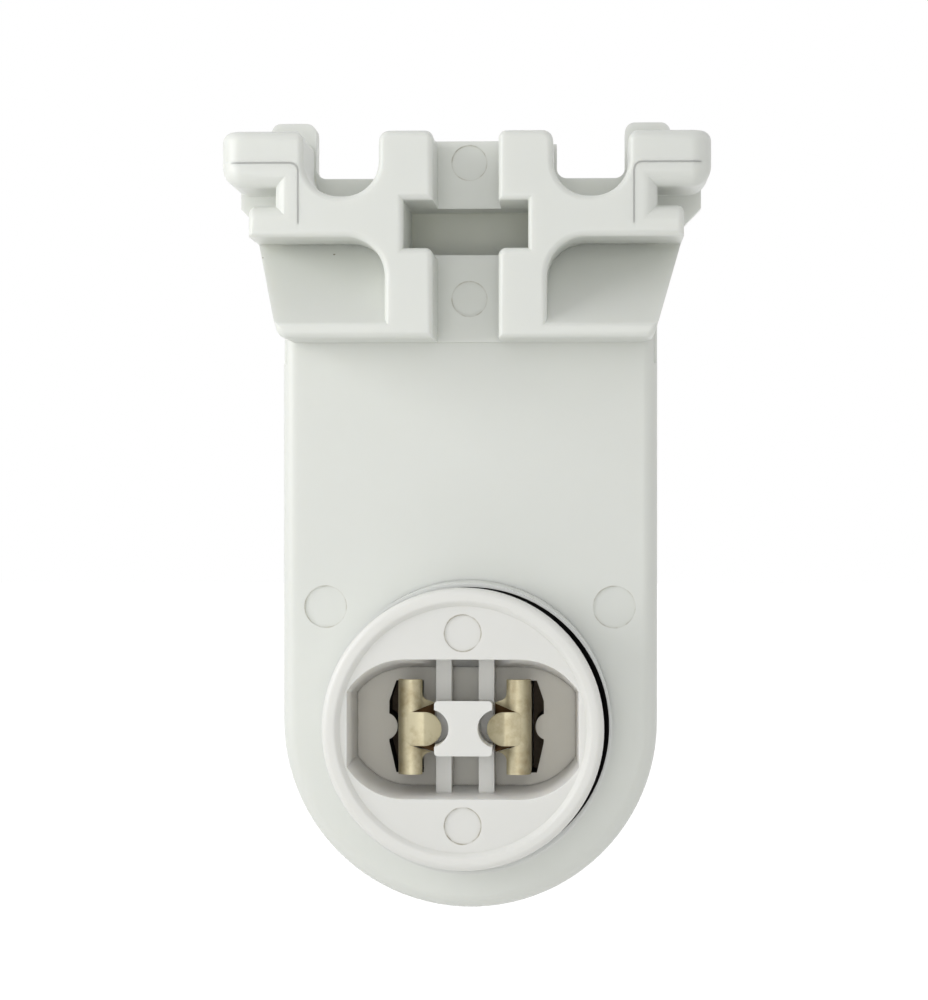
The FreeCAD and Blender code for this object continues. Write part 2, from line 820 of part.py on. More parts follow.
def close_recess(sketch, corners, names, centre, radius, half):
    """Join the recess outline's lines and arcs and tie them to the sheet."""
    def end_at(geometry, place):
        near = min((1, 2), key=lambda end: sketch.getPoint(geometry, end).distanceToPoint(place))
        return geometry, near

    count = len(names)
    for index in range(count):
        place = corners[names[(index + 1) % count]]
        first = end_at(index, place)
        second = end_at((index + 1) % count, place)
        sketch.addConstraint(Sketcher.Constraint("Coincident", *first, *second))
    top, right, bottom, left = range(0, count, 2)
    arcs = range(1, count, 2)
    for line in (right, left):
        sketch.addConstraint(Sketcher.Constraint("Vertical", line))
    for arc in arcs:
        side = 1 if sketch.getPoint(arc, 3).x > 0 else -1
        hold(sketch, f"centre_{arc}", "DistanceX", arc, 3, centre * side)
        sketch.addConstraint(Sketcher.Constraint("PointOnObject", arc, 3, -1))
    hold_radius(sketch, "end_radius", arcs[0], radius)
    for arc in arcs[1:]:
        sketch.addConstraint(Sketcher.Constraint("Equal", arcs[0], arc))
    for name, place, side in (("top_left", "top_left", -1), ("top_right", "top_right", 1)):
        hold(sketch, name, "DistanceX", *end_at(top, corners[place]), centre * side)
    hold(sketch, "bottom_right", "DistanceX", *end_at(bottom, corners["bottom_right"]), centre)
    hold(sketch, "bottom_left", "DistanceX", *end_at(bottom, corners["bottom_left"]), -centre)
    hold(sketch, "right", "DistanceX", right, 1, half)
    hold(sketch, "left", "DistanceX", left, 1, -half)


def make_socket_insert():
    """Turret face with its rim, the recess, two ribs and the post."""
    body = new_body("socket_insert")
    rim_inner = rim_radius - size("rim_width")
    turn(body, "turret", [
        (ZERO, size("block_stand")),
        (barrel_radius, size("block_stand")),
        (barrel_radius, rim_back),
        (rim_radius, rim_back),
        (rim_radius, turret_stand),
        (rim_inner + size("rim_slope"), turret_stand),
        (rim_inner, face_stand),
        (ZERO, face_stand),
    ])
    round_edges(body, "rim_outer", size("rim_edge_radius"), ring(rim_radius, turret_stand))
    round_edges(body, "rim_inner", size("rim_inner_radius"), ring(
        rim_inner + size("rim_slope"), turret_stand))
    mouth = new_sketch(body, "recess_outline", "XZ_Plane", face_stand)
    draw_recess(mouth, size("recess_centre_half"), size("recess_end_radius"), size("recess_half"))
    pocket(body, "recess", mouth, face_stand - size("block_stand"))
    for name, side in SIDES.items():
        rib = front_polygon(body, f"{name}_rib_outline", size("block_stand"), mirrored([
            (size("rib_inner_half"), -size("recess_end_radius") - size("wall")),
            (size("rib_outer_half"), -size("recess_end_radius") - size("wall")),
            (size("rib_outer_half"), size("recess_end_radius") + size("wall")),
            (size("rib_inner_half"), size("recess_end_radius") + size("wall")),
        ], side))
        pad(body, f"{name}_rib", rib, size("rib_stand") - size("block_stand"))
    post = front_polygon(body, "post_outline", size("block_stand"), both_sides([
        (size("post_half"), -size("post_half_height")),
        (size("post_half"), size("post_half_height")),
    ]))
    pad(body, "post", post, size("post_stand") - size("block_stand"))
    round_edges(body, "post_corners", size("post_corner_radius"), at_corner(
        (size("post_half"), -size("post_half_height")),
        (size("post_half"), size("post_half_height")),
    ))
    notches = front_circles(body, "post_notch_outline", size("post_stand"), [
        (size("post_notch_half") * side, ZERO, size("post_notch_radius")) for side in SIDES.values()
    ])
    pocket(body, "post_notches", notches, size("post_stand") - size("post_ledge_stand"))
    drill_insert(body)
    shift_plunger_piece(body)
    return body


def insert_screw_places():
    """The two screws lie above and below the recess."""
    return [(ZERO, size("insert_screw_height") * side) for side in SIDES.values()]


def drill_insert(body):
    """Mould marks on the face, and blind holes for the screws behind them."""
    marks = front_circles(body, "face_mark_outline", face_stand, [
        (across, up, size("face_mark_radius")) for across, up in insert_screw_places()
    ])
    pocket(body, "face_marks", marks, size("mark_depth"))
    pilots = front_circles(body, "insert_pilot_outline", size("block_stand"), [
        (across, up, size("screw_radius")) for across, up in insert_screw_places()
    ])
    through = size("block_stand") - plate_back
    pocket(body, "insert_pilots", pilots, size("insert_screw_length") - through, True)


def slot_points(side):
    """Contact slot of the block, wider in its middle stretch."""
    return mirrored([
        (size("slot_inner_half"), -size("slot_bottom")),
        (size("slot_corner_half"), -size("slot_bottom")),
        (size("slot_outer_half"), -size("slot_flat_half")),
        (size("slot_outer_half"), size("slot_flat_half")),
        (size("slot_corner_half"), size("slot_top")),
        (size("slot_inner_half"), size("slot_top")),
    ], side)


def cut_contact_openings(body, front, depth):
    """Slots for the contacts, holes for the screws and the bore for the spring."""
    for name, side in SIDES.items():
        slot = front_polygon(body, f"{name}_slot_outline", front, slot_points(side))
        pocket(body, f"{name}_slot", slot, depth)
    holes = front_circles(body, "screw_hole_outline", front, [
        (across, up, size("screw_radius")) for across, up in insert_screw_places()
    ])
    pocket(body, "screw_holes", holes, depth)


def make_contact_block():
    """Floor of the recess, with a slot and a half-round nub for each contact."""
    body = new_body("contact_block")
    depth = size("block_stand") - plate_front
    turn(body, "disc", [
        (ZERO, plate_front),
        (barrel_radius, plate_front),
        (barrel_radius, size("block_stand")),
        (ZERO, size("block_stand")),
    ])
    cut_contact_openings(body, size("block_stand"), depth)
    nubs = front_circles(body, "nub_outline", plate_front, [
        (size("nub_centre_half") * side, ZERO, size("nub_radius")) for side in SIDES.values()
    ])
    pad(body, "nubs", nubs, depth)
    bore = front_circles(body, "spring_bore_outline", plate_front, [(ZERO, ZERO, spring_bore)])
    pocket(body, "spring_bore", bore, spring_seat - plate_front, True)
    shift_plunger_piece(body)
    return body


def make_backing_plate():
    """Insulating plate that closes the block from behind."""
    body = new_body("backing_plate")
    turn(body, "disc", [
        (ZERO, plate_back),
        (barrel_radius, plate_back),
        (barrel_radius, plate_front),
        (ZERO, plate_front),
    ])
    cut_contact_openings(body, plate_front, size("plate_thickness"))
    bore = front_circles(body, "spring_bore_outline", plate_front, [(ZERO, ZERO, spring_bore)])
    pocket(body, "spring_bore", bore, size("plate_thickness"))
    shift_plunger_piece(body)
    return body


def make_contact(name, side):
    """Folded strip: a saddle through the block, a flare, a tongue towards the post and a tail."""
    body = new_body(f"{name}_contact")
    thickness = size("strip_thickness")
    outer, inner = size("saddle_outer_half"), size("saddle_inner_half")
    height = size("saddle_half_height")
    saddle = front_polygon(body, "saddle_outline", plate_back - thickness, mirrored([
        (inner, -height), (outer, -height), (outer, height), (inner, height),
    ], side))
    pad(body, "saddle", saddle, size("saddle_stand") - plate_back + thickness)
    crown = (outer - inner) / 2 - dim(NEAR)
    round_edges(body, "crown", crown, crown_edges(side, size("saddle_stand")))
    stem = size("saddle_stand") - plate_back
    hollow = front_polygon(body, "hollow_outline", plate_back - thickness, mirrored([
        (inner + thickness, -height - thickness),
        (outer - thickness, -height - thickness),
        (outer - thickness, height + thickness),
        (inner + thickness, height + thickness),
    ], side))
    pocket(body, "hollow", hollow, stem, True)
    round_edges(body, "crown_inside", crown - thickness, crown_edges(
        side, size("saddle_stand") - thickness))
    clear = front_polygon(body, "curl_outline", plate_back - thickness, mirrored([
        (inner - thickness, -height - thickness),
        (inner + thickness, -height - thickness),
        (inner + thickness, height + thickness),
        (inner - thickness, height + thickness),
    ], side))
    pocket(body, "curl", clear, stem + thickness - size("curl_length"), True)
    corner = front_polygon(body, "leg_corner_outline", plate_back - thickness, mirrored([
        (inner - thickness, size("leg_top")),
        (outer + thickness, size("leg_top")),
        (outer + thickness, height + thickness),
        (inner - thickness, height + thickness),
    ], side))
    pocket(body, "leg_corner", corner, size("leg_shoulder_stand") - plate_back + thickness, True)
    tail = front_polygon(body, "tail_outline", plate_back - thickness, mirrored([
        (outer - thickness, -size("leg_bottom")),
        (size("tail_half"), -size("leg_bottom")),
        (size("tail_half"), size("leg_top")),
        (outer - thickness, size("leg_top")),
    ], side))
    pad(body, "tail", tail, thickness)
    flare_stand = size("saddle_stand") - size("flare_drop")
    flare = front_polygon(body, "flare_outline", flare_stand, mirrored([
        (outer - thickness, -size("flare_half_height")),
        (inner, -size("flare_half_height")),
        (size("flare_tip_half"), -size("tongue_half_height")),
        (size("flare_tip_half"), size("tongue_half_height")),
        (inner, size("flare_half_height")),
        (outer - thickness, size("flare_half_height")),
    ], side))
    pad(body, "flare", flare, thickness)
    tongue = front_polygon(body, "tongue_outline", size("saddle_stand") - thickness / 2, mirrored([
        (size("tongue_start_half"), -size("tongue_half_height")),
        (size("tongue_tip_half"), -size("tongue_half_height")),
        (size("tongue_tip_half"), size("tongue_half_height")),
        (size("tongue_start_half"), size("tongue_half_height")),
    ], side))
    pad(body, "tongue", tongue, thickness)
    tip_radius = size("tongue_half_height") - dim(NEAR)
    round_edges(body, "tongue_tip", tip_radius, at_corner(
        (size("tongue_tip_half"), -size("tongue_half_height")),
        (size("tongue_tip_half"), size("tongue_half_height")),
    ))
    shift_plunger_piece(body)
    return body


def crown_edges(side, stand):
    """Test for the two long edges of a saddle's crown."""
    def chosen(edge):
        box = edge.BoundBox
        flat = abs(box.YMin + stand.value) < NEAR and abs(box.YMax + stand.value) < NEAR
        return flat and box.XLength < NEAR and box.XMin * side > 0

    return chosen


def make_screws(label, places, head_rear, head_height, head_radius, length):
    """A group of equal slotted screws, driven in from the back."""
    body = new_body(label)
    shanks = front_circles(body, "shank_outline", head_rear, [
        (across, up, size("screw_radius")) for across, up in places
    ])
    pad(body, "shanks", shanks, head_height + length)
    heads = front_circles(body, "head_outline", head_rear, [
        (across, up, head_radius) for across, up in places
    ])
    pad(body, "heads", heads, head_height)
    for index, (across, up) in enumerate(places):
        slot = front_polygon(body, f"slot_outline_{index}", head_rear, [
            (across - head_radius, up - size("screw_slot_width") / 2),
            (across + head_radius, up - size("screw_slot_width") / 2),
            (across + head_radius, up + size("screw_slot_width") / 2),
            (across - head_radius, up + size("screw_slot_width") / 2),
        ])
        pocket(body, f"slot_{index}", slot, size("screw_slot_depth"), True)
    return body


def make_spring():
    """Coil spring between the cover and the contact block."""
    wire = size("spring_wire_radius")
    coil = doc.addObject("Part::Helix", "spring_coil")
    bind(coil, "Radius", size("spring_radius"))
    bind(coil, "Pitch", size("spring_pitch"))
    bind(coil, "Height", spring_seat - cover_top - wire * 2)
    section = doc.addObject("Part::Circle", "spring_section")
    bind(section, "Radius", wire)
    bind(section, "Placement.Base.x", size("spring_radius"))
    section.Placement.Rotation = FreeCAD.Rotation(FreeCAD.Vector(1, 0, 0), QUARTER_TURN)
    spring = doc.addObject("Part::Sweep", "plunger_spring")
    spring.Label = "plunger_spring"
    spring.Sections = [section]
    spring.Spine = (coil, ["Edge1"])
    spring.Solid = True
    spring.Frenet = True
    spring.Placement.Rotation = FreeCAD.Rotation(FreeCAD.Vector(1, 0, 0), QUARTER_TURN)
    bind(spring, "Placement.Base.x", -size("insert_shift"))
    bind(spring, "Placement.Base.y", -(cover_top + wire))
    bind(spring, "Placement.Base.z", size("insert_shift"))
    return spring


def make_box(name, low, high):
    """A box between two corners, each (x, stand, z)."""
    box = doc.addObject("Part::Box", name)
    bind(box, "Length", dim(high[0]) - low[0])
    bind(box, "Width", dim(high[1]) - low[1])
    bind(box, "Height", dim(high[2]) - low[2])
    bind(box, "Placement.Base.x", low[0])
    bind(box, "Placement.Base.y", -dim(high[1]))
    bind(box, "Placement.Base.z", low[2])
    return box


def make_terminal(name, side):
    """Push-in wire clamp: an end plate on the shell, three legs and two barbs."""
    thickness = size("terminal_thickness")
    width = size("terminal_width")
    left = size("entry_half") * side - width / 2
    right = left + width
    gap = size("terminal_gap")
    top = size("entry_high") + gap / 2 + thickness
    pieces = [make_box(
        f"{name}_end_plate",
        (left, cavity_stand - thickness, size("terminal_bottom")),
        (right, cavity_stand, top),
    )]
    for index in range(3):
        roof = top - (gap + thickness) * index
        pieces.append(make_box(
            f"{name}_leg_{index}",
            (left, cavity_stand - size("terminal_leg_length"), roof - thickness),
            (right, cavity_stand, roof),
        ))
    for index in range(2):
        roof = top - (gap + thickness) * index
        barb = doc.addObject("Part::Box", f"{name}_barb_{index}")
        bind(barb, "Length", width - thickness * 2)
        bind(barb, "Width", size("barb_length"))
        bind(barb, "Height", thickness / 2)
        barb.Placement.Rotation = FreeCAD.Rotation(FreeCAD.Vector(1, 0, 0), HALF_TURN)
        bind(barb, "Placement.Rotation.Angle", size("barb_angle") + HALF_TURN)
        bind(barb, "Placement.Base.x", left + thickness)
        bind(barb, "Placement.Base.y", size("terminal_leg_length") - cavity_stand)
        bind(barb, "Placement.Base.z", roof - thickness / 2)
        pieces.append(barb)
    clamp = doc.addObject("Part::MultiFuse", f"{name}_terminal")
    clamp.Label = f"{name}_terminal"
    clamp.Shapes = pieces
    return clamp


def make_strap(name, side):
    """Flexible strip from a terminal's lower leg to the tail of a contact."""
    body = new_body(f"{name}_strap")
    thickness = size("strap_thickness")
    centre = size("entry_half") * side
    tail = plate_back - size("strip_thickness")
    joint = cavity_stand - size("terminal_thickness")
    contact_top = size("leg_top")
    path = [
        (contact_top - size("strap_overlap"), tail),
        (contact_top, tail),
        (size("strap_rest_height"), size("strap_rest_stand")),
        (size("strap_bow_height"), size("strap_bow_stand")),
        (size("strap_rise_height"), size("strap_rise_stand")),
        (size("terminal_bottom"), joint),
    ]
    front = [(-stand, up) for up, stand in path]
    back = [(thickness - stand, up) for up, stand in reversed(path)]
    start = centre - size("strap_width") / 2
    sketch = new_sketch(body, "strap_outline", "YZ_Plane", start)
    draw_polygon(sketch, front + back)
    pad(body, "strap", sketch, size("strap_width"))
    return body


def write_parts(pieces):
    """Check every object of the document and every sub-part, then write the sub-parts."""
    doc.recompute()
    for thing in doc.Objects:
        failed = {"Invalid", "Error"} & set(thing.State)
        if failed:
            raise RuntimeError(f"{thing.Name} is {failed}")
    for piece in pieces:
        if piece.Shape.isNull() or not piece.Shape.isValid():
            raise RuntimeError(f"{piece.Label} has no valid shape")
    os.makedirs("parts", exist_ok=True)
    for piece in pieces:
        piece.Shape.exportStep(f"parts/{piece.Label}.step")
        solids = len(piece.Shape.Solids)
        print(f"{piece.Label}: {solids} solid(s), {piece.Shape.Volume:.1f} mm3")


insert_screws = make_screws(
    "insert_screws", insert_screw_places(), plate_back - size("screw_head_height"),
    size("screw_head_height"), size("insert_screw_head_radius"),
    size("insert_screw_length") - size("screw_clearance"),
)
shift_plunger_piece(insert_screws)
parts = [
    make_front_housing(),
    make_back_cover(),
    make_plunger_sleeve(),
    make_socket_insert(),
    make_contact_block(),
    make_backing_plate(),
    make_spring(),
    make_screws("cover_screws", cover_screw_places(), ZERO, size("screw_head_height"),
                size("screw_head_radius"), size("screw_length")),
    insert_screws,
]
for side_name, side_sign in SIDES.items():
    parts.append(make_contact(side_name, side_sign))
    parts.append(make_terminal(side_name, side_sign))
    parts.append(make_strap(side_name, side_sign))
write_parts(parts)
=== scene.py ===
"""Fluorescent lamp holder with a round spring plunger: how its pieces look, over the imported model."""

import logging
import math
from dataclasses import dataclass
from enum import Enum

import bmesh
import bpy
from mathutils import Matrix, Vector
from mathutils.bvhtree import BVHTree


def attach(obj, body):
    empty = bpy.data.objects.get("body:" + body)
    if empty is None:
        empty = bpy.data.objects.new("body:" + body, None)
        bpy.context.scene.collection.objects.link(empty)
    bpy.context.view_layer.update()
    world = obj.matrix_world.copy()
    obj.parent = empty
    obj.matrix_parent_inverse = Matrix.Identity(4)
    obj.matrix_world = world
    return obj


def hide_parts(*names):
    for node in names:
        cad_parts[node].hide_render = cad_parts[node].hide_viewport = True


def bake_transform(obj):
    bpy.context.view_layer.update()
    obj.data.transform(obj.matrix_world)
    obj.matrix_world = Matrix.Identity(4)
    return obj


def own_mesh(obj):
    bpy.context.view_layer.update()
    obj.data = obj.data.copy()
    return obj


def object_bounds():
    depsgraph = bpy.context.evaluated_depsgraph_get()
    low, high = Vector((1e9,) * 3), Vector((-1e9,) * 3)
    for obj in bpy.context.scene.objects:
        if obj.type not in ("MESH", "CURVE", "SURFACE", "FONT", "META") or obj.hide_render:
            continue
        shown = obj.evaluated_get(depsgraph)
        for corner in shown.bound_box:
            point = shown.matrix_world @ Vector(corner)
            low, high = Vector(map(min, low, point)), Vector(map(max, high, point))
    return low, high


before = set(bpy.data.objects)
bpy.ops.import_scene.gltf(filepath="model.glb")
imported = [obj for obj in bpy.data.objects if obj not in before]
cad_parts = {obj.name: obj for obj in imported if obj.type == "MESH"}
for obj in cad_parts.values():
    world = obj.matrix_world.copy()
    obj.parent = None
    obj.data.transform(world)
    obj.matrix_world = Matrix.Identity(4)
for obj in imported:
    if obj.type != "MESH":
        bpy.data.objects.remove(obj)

CAD_BOUNDS = [list(corner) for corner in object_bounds()]
MM = 0.001
NEAR_MM = 0.02  # how far a vertex may lie from its nominal place
LOOSE_MM = 0.05  # the same for a rounded or shared place
WELD_MM = 0.0005  # corners closer than this are one
FLAT_DEGREES = 0.6  # faces that turn less than this are one
SHARP_DEGREES = 35  # steeper edges of the mouldings are real corners
BENT_DEGREES = 50  # the same for the metal pieces
ROOM_SHARE = 0.42  # share of the room beside an edge that its rounding may take
CROSSING = 0.8  # an edge crosses its neighbour where their cosine is below this
SIDES = (-1, 1)
WHITE = "#ffffff"
LOG = logging.getLogger("lamp_holder")


class Rides(Enum):
    """The two bodies of the holder."""

    HOLDER = "holder"
    PLUNGER = "plunger"


def linear(colour: str) -> tuple[float, float, float, float]:
    """Turn an sRGB hex colour into linear values.

    Args:
        colour: Six hex digits with a leading #.

    Returns:
        Linear red, green, blue and an alpha of 1.
    """
    parts = [int(colour[place:place + 2], 16) / 255 for place in (1, 3, 5)]
    low = [part / 12.92 if part <= 0.04045 else ((part + 0.055) / 1.055) ** 2.4 for part in parts]
    return low[0], low[1], low[2], 1.0


def per_metre(size_mm: float) -> float:
    """Pattern scale of a texture on Object coordinates whose features are size_mm across."""
    return 1 / (size_mm * MM)


def add_node(tree: bpy.types.NodeTree, kind: str, settings: dict | None = None,
             links: dict | None = None) -> bpy.types.Node:
    """Add one shader node with its settings and its incoming links.

    Args:
        tree: The node tree that gets the node.
        kind: The node's type name without its ShaderNode prefix.
        settings: Attribute names, or input names, with their values.
        links: Input names with the output socket that feeds each.

    Returns:
        The new node.
    """
    node = tree.nodes.new(f"ShaderNode{kind}")
    for name, value in (settings or {}).items():
        if isinstance(name, str) and hasattr(node, name):
            setattr(node, name, value)
        else:
            node.inputs[name].default_value = value
    for name, socket in (links or {}).items():
        tree.links.new(socket, node.inputs[name])
    return node


def start_material(name: str) -> tuple[bpy.types.Material, bpy.types.NodeTree]:
    """Start a material with no nodes.

    Args:
        name: The material's name.

    Returns:
        The material and its node tree.
    """
    material = bpy.data.materials.new(name)
    material.use_nodes = True
    material.node_tree.nodes.clear()
    return material, material.node_tree


@dataclass(frozen=True)
class MouldedUrea:
    """White urea moulding compound, pressed hot in a polished steel mould.

    It is dense and slightly milky, with a satin skin that waves a little where it shrank, faint
    clouding from the flow, and the odd dark speck of burnt powder or dirt.
    """

    name: str
    colour: str
    cloud_colour: str
    roughness: float = 0.38
    milkiness: float = 0.5
    milk_mm: float = 1.0
    # The skin's waves are finer than this, and are drawn as coarse as they need to be to show.
    skin_mm: float = 0.5
    skin_depth_mm: float = 0.004
    cloud_mm: float = 9.0
    speck_mm: float = 3.2
    speck_radius_mm: float = 0.12
    speck_core: float = 0.55
    speck_rarity: float = 0.8
    speck_colour: str = "#8f8a78"
    rings: tuple[tuple[float, float, float], ...] = ()
    ring_colour: str = "#9c937c"
    ring_strength: float = 0.6
    ring_half_mm: float = 0.07
    ring_patch_mm: float = 0.7
    ring_stand_mm: float = 17.0
    # Painted shade: brown darkening of the tight inner corners, by how closed in they are.
    corner_shade_colour: str = "#6e5c40"
    corner_shade_strength: float = 0.0
    corner_shade_reach_mm: float = 0.3
    corner_shade_patch_mm: float = 1.1

    def soil(self, tree: bpy.types.NodeTree, place: bpy.types.NodeSocket,
             under: bpy.types.NodeSocket) -> bpy.types.NodeSocket:
        """Lay broken rings of dirt along the edges of the ejector pin marks.

        Args:
            tree: The material's node tree.
            place: Object coordinates.
            under: The colour below the dirt.

        Returns:
            The soiled colour.
        """
        patchy = add_node(tree, "TexNoise", {"Scale": per_metre(self.ring_patch_mm), "Detail": 4.0},
                          {"Vector": place})
        held = add_node(tree, "MapRange", {
            "From Min": 0.42, "From Max": 0.62, "To Min": 0.15, "To Max": self.ring_strength,
        }, {"Value": patchy.outputs["Fac"]})
        depth = add_node(tree, "SeparateXYZ", {}, {"Vector": place})
        ahead = add_node(tree, "Math", {"operation": "LESS_THAN", 1: -self.ring_stand_mm * MM},
                         {0: depth.outputs["Y"]})
        for across, up, radius in self.rings:
            flat = add_node(tree, "Mapping", {
                "vector_type": "TEXTURE", "Location": (across * MM, 0.0, up * MM),
            }, {"Vector": place})
            front = add_node(tree, "VectorMath", {"operation": "MULTIPLY", 1: (1.0, 0.0, 1.0)},
                             {0: flat.outputs["Vector"]})
            reach = add_node(tree, "VectorMath", {"operation": "LENGTH"}, {0: front.outputs["Vector"]})
            off = add_node(tree, "Math", {"operation": "SUBTRACT", 1: radius * MM},
                           {0: reach.outputs["Value"]})
            away = add_node(tree, "Math", {"operation": "ABSOLUTE"}, {0: off.outputs[0]})
            near = add_node(tree, "MapRange", {
                "From Min": 0.0, "From Max": self.ring_half_mm * MM, "To Min": 1.0, "To Max": 0.0,
            }, {"Value": away.outputs[0]})
            shown = add_node(tree, "Math", {"operation": "MULTIPLY"},
                             {0: near.outputs["Result"], 1: ahead.outputs[0]})
            amount = add_node(tree, "Math", {"operation": "MULTIPLY"},
                              {0: shown.outputs[0], 1: held.outputs["Result"]})
            under = add_node(tree, "Mix", {"data_type": "RGBA", 7: linear(self.ring_colour)},
                             {0: amount.outputs[0], 6: under}).outputs[2]
        return under

    def paint_corner_shade(self, tree: bpy.types.NodeTree, place: bpy.types.NodeSocket,
              under: bpy.types.NodeSocket) -> bpy.types.NodeSocket:
        """Paint brown shade into the tight inner corners, by how closed in they are, in patches.

        Args:
            tree: The material's node tree.
            place: Object coordinates.
            under: The colour below the painted shade.

        Returns:
            The colour with its painted corner shade.
        """
        corner = add_node(tree, "AmbientOcclusion", {
            "samples": 6, "Distance": self.corner_shade_reach_mm * MM,
        })
        caught = add_node(tree, "MapRange", {
            "From Min": 0.45, "From Max": 0.72, "To Min": self.corner_shade_strength, "To Max": 0.0,
        }, {"Value": corner.outputs["AO"]})
        patchy = add_node(tree, "TexNoise", {"Scale": per_metre(self.corner_shade_patch_mm), "Detail": 4.0},
                          {"Vector": place})
        patches = add_node(tree, "MapRange", {
            "From Min": 0.38, "From Max": 0.6, "To Min": 0.25, "To Max": 1.0,
        }, {"Value": patchy.outputs["Fac"]})
        amount = add_node(tree, "Math", {"operation": "MULTIPLY"},
                          {0: caught.outputs["Result"], 1: patches.outputs["Result"]})
        return add_node(tree, "Mix", {"data_type": "RGBA", 7: linear(self.corner_shade_colour)},
                        {0: amount.outputs[0], 6: under}).outputs[2]

    def powder(self, tree: bpy.types.NodeTree, place: bpy.types.NodeSocket) -> bpy.types.NodeSocket:
        """Cloud the plastic's own colour, and scatter the odd speck in it.

        Args:
            tree: The material's node tree.
            place: Object coordinates.

        Returns:
            The clean plastic's colour.
        """
        cloud = add_node(tree, "TexNoise", {
            "Scale": per_metre(self.cloud_mm), "Detail": 3.0, "Roughness": 0.55,
        }, {"Vector": place})
        tone = add_node(tree, "Mix", {
            "data_type": "RGBA", 6: linear(self.colour), 7: linear(self.cloud_colour),
        }, {0: cloud.outputs["Fac"]})
        speck = add_node(tree, "TexVoronoi", {"Scale": per_metre(self.speck_mm)}, {"Vector": place})
        inside = add_node(tree, "MapRange", {
            "From Min": self.speck_core * self.speck_radius_mm / self.speck_mm,
            "From Max": self.speck_radius_mm / self.speck_mm,
            "To Min": 1.0, "To Max": 0.0,
        }, {"Value": speck.outputs["Distance"]})
        rare = add_node(tree, "Math", {"operation": "GREATER_THAN", 1: self.speck_rarity},
                        {0: speck.outputs["Color"]})
        spot = add_node(tree, "Math", {"operation": "MULTIPLY"},
                        {0: inside.outputs["Result"], 1: rare.outputs[0]})
        return add_node(tree, "Mix", {"data_type": "RGBA", 7: linear(self.speck_colour)},
                        {0: spot.outputs[0], 6: tone.outputs[2]}).outputs[2]

    def build(self) -> bpy.types.Material:
        """Make the material."""
        material, tree = start_material(self.name)
        place = add_node(tree, "TexCoord").outputs["Object"]
        base = self.powder(tree, place)
        # Painted shade in the tight inner corners.
        if self.corner_shade_strength:
            base = self.paint_corner_shade(tree, place, base)
        if self.rings:
            base = self.soil(tree, place, base)
        skin = add_node(tree, "TexNoise", {
            "Scale": per_metre(self.skin_mm), "Detail": 4.0, "Roughness": 0.6,
        }, {"Vector": place})
        bump = add_node(tree, "Bump", {"Strength": 0.5, "Distance": self.skin_depth_mm * MM},
                        {"Height": skin.outputs["Fac"]})
        gloss = add_node(tree, "MapRange", {
            "To Min": self.roughness - 0.05, "To Max": self.roughness + 0.08,
        }, {"Value": skin.outputs["Fac"]})
        shader = add_node(tree, "BsdfPrincipled", {
            "IOR": 1.55, "Subsurface Weight": self.milkiness, "Subsurface Scale": self.milk_mm * MM,
            "Subsurface Radius": (1.0, 0.97, 0.9),
        }, {
            "Base Color": base,
            "Roughness": gloss.outputs["Result"],
            "Normal": bump.outputs["Normal"],
        })
        add_node(tree, "OutputMaterial", {}, {"Surface": shader.outputs["BSDF"]})
        return material


@dataclass(frozen=True)
class PlatedMetal:
    """Rolled strip or drawn wire with a thin plating that is handled and a little tarnished.

    Its fine drawing lines spread a highlight across them, and the tarnish dulls it in patches.
    """

    name: str
    colour: str
    tarnish_colour: str
    roughness: float = 0.3
    tarnish_mm: float = 1.6
    # Drawing lines are finer than this, and are drawn as coarse as they need to be to show.
    grain_mm: tuple[float, float, float] = (0.08, 0.08, 1.2)
    grain_depth_mm: float = 0.003

    def build(self) -> bpy.types.Material:
        """Make the material."""
        material, tree = start_material(self.name)
        place = add_node(tree, "TexCoord").outputs["Object"]
        stretched = add_node(tree, "Mapping", {
            "vector_type": "POINT", "Scale": tuple(per_metre(size) for size in self.grain_mm),
        }, {"Vector": place})
        grain = add_node(tree, "TexNoise", {"Scale": 1.0, "Detail": 2.0},
                         {"Vector": stretched.outputs["Vector"]})
        stain = add_node(tree, "TexNoise", {
            "Scale": per_metre(self.tarnish_mm), "Detail": 5.0, "Roughness": 0.65,
        }, {"Vector": place})
        amount = add_node(tree, "MapRange", {
            "From Min": 0.45, "From Max": 0.75, "To Min": 0.0, "To Max": 0.8,
        }, {"Value": stain.outputs["Fac"]})
        tone = add_node(tree, "Mix", {
            "data_type": "RGBA", 6: linear(self.colour), 7: linear(self.tarnish_colour),
        }, {0: amount.outputs["Result"]})
        bump = add_node(tree, "Bump", {"Strength": 0.6, "Distance": self.grain_depth_mm * MM},
                        {"Height": grain.outputs["Fac"]})
        gloss = add_node(tree, "MapRange", {
            "To Min": self.roughness - 0.06, "To Max": self.roughness + 0.14,
        }, {"Value": stain.outputs["Fac"]})
        shader = add_node(tree, "BsdfPrincipled", {"Metallic": 1.0}, {
            "Base Color": tone.outputs[2], "Roughness": gloss.outputs["Result"],
            "Normal": bump.outputs["Normal"],
        })
        add_node(tree, "OutputMaterial", {}, {"Surface": shader.outputs["BSDF"]})
        return material


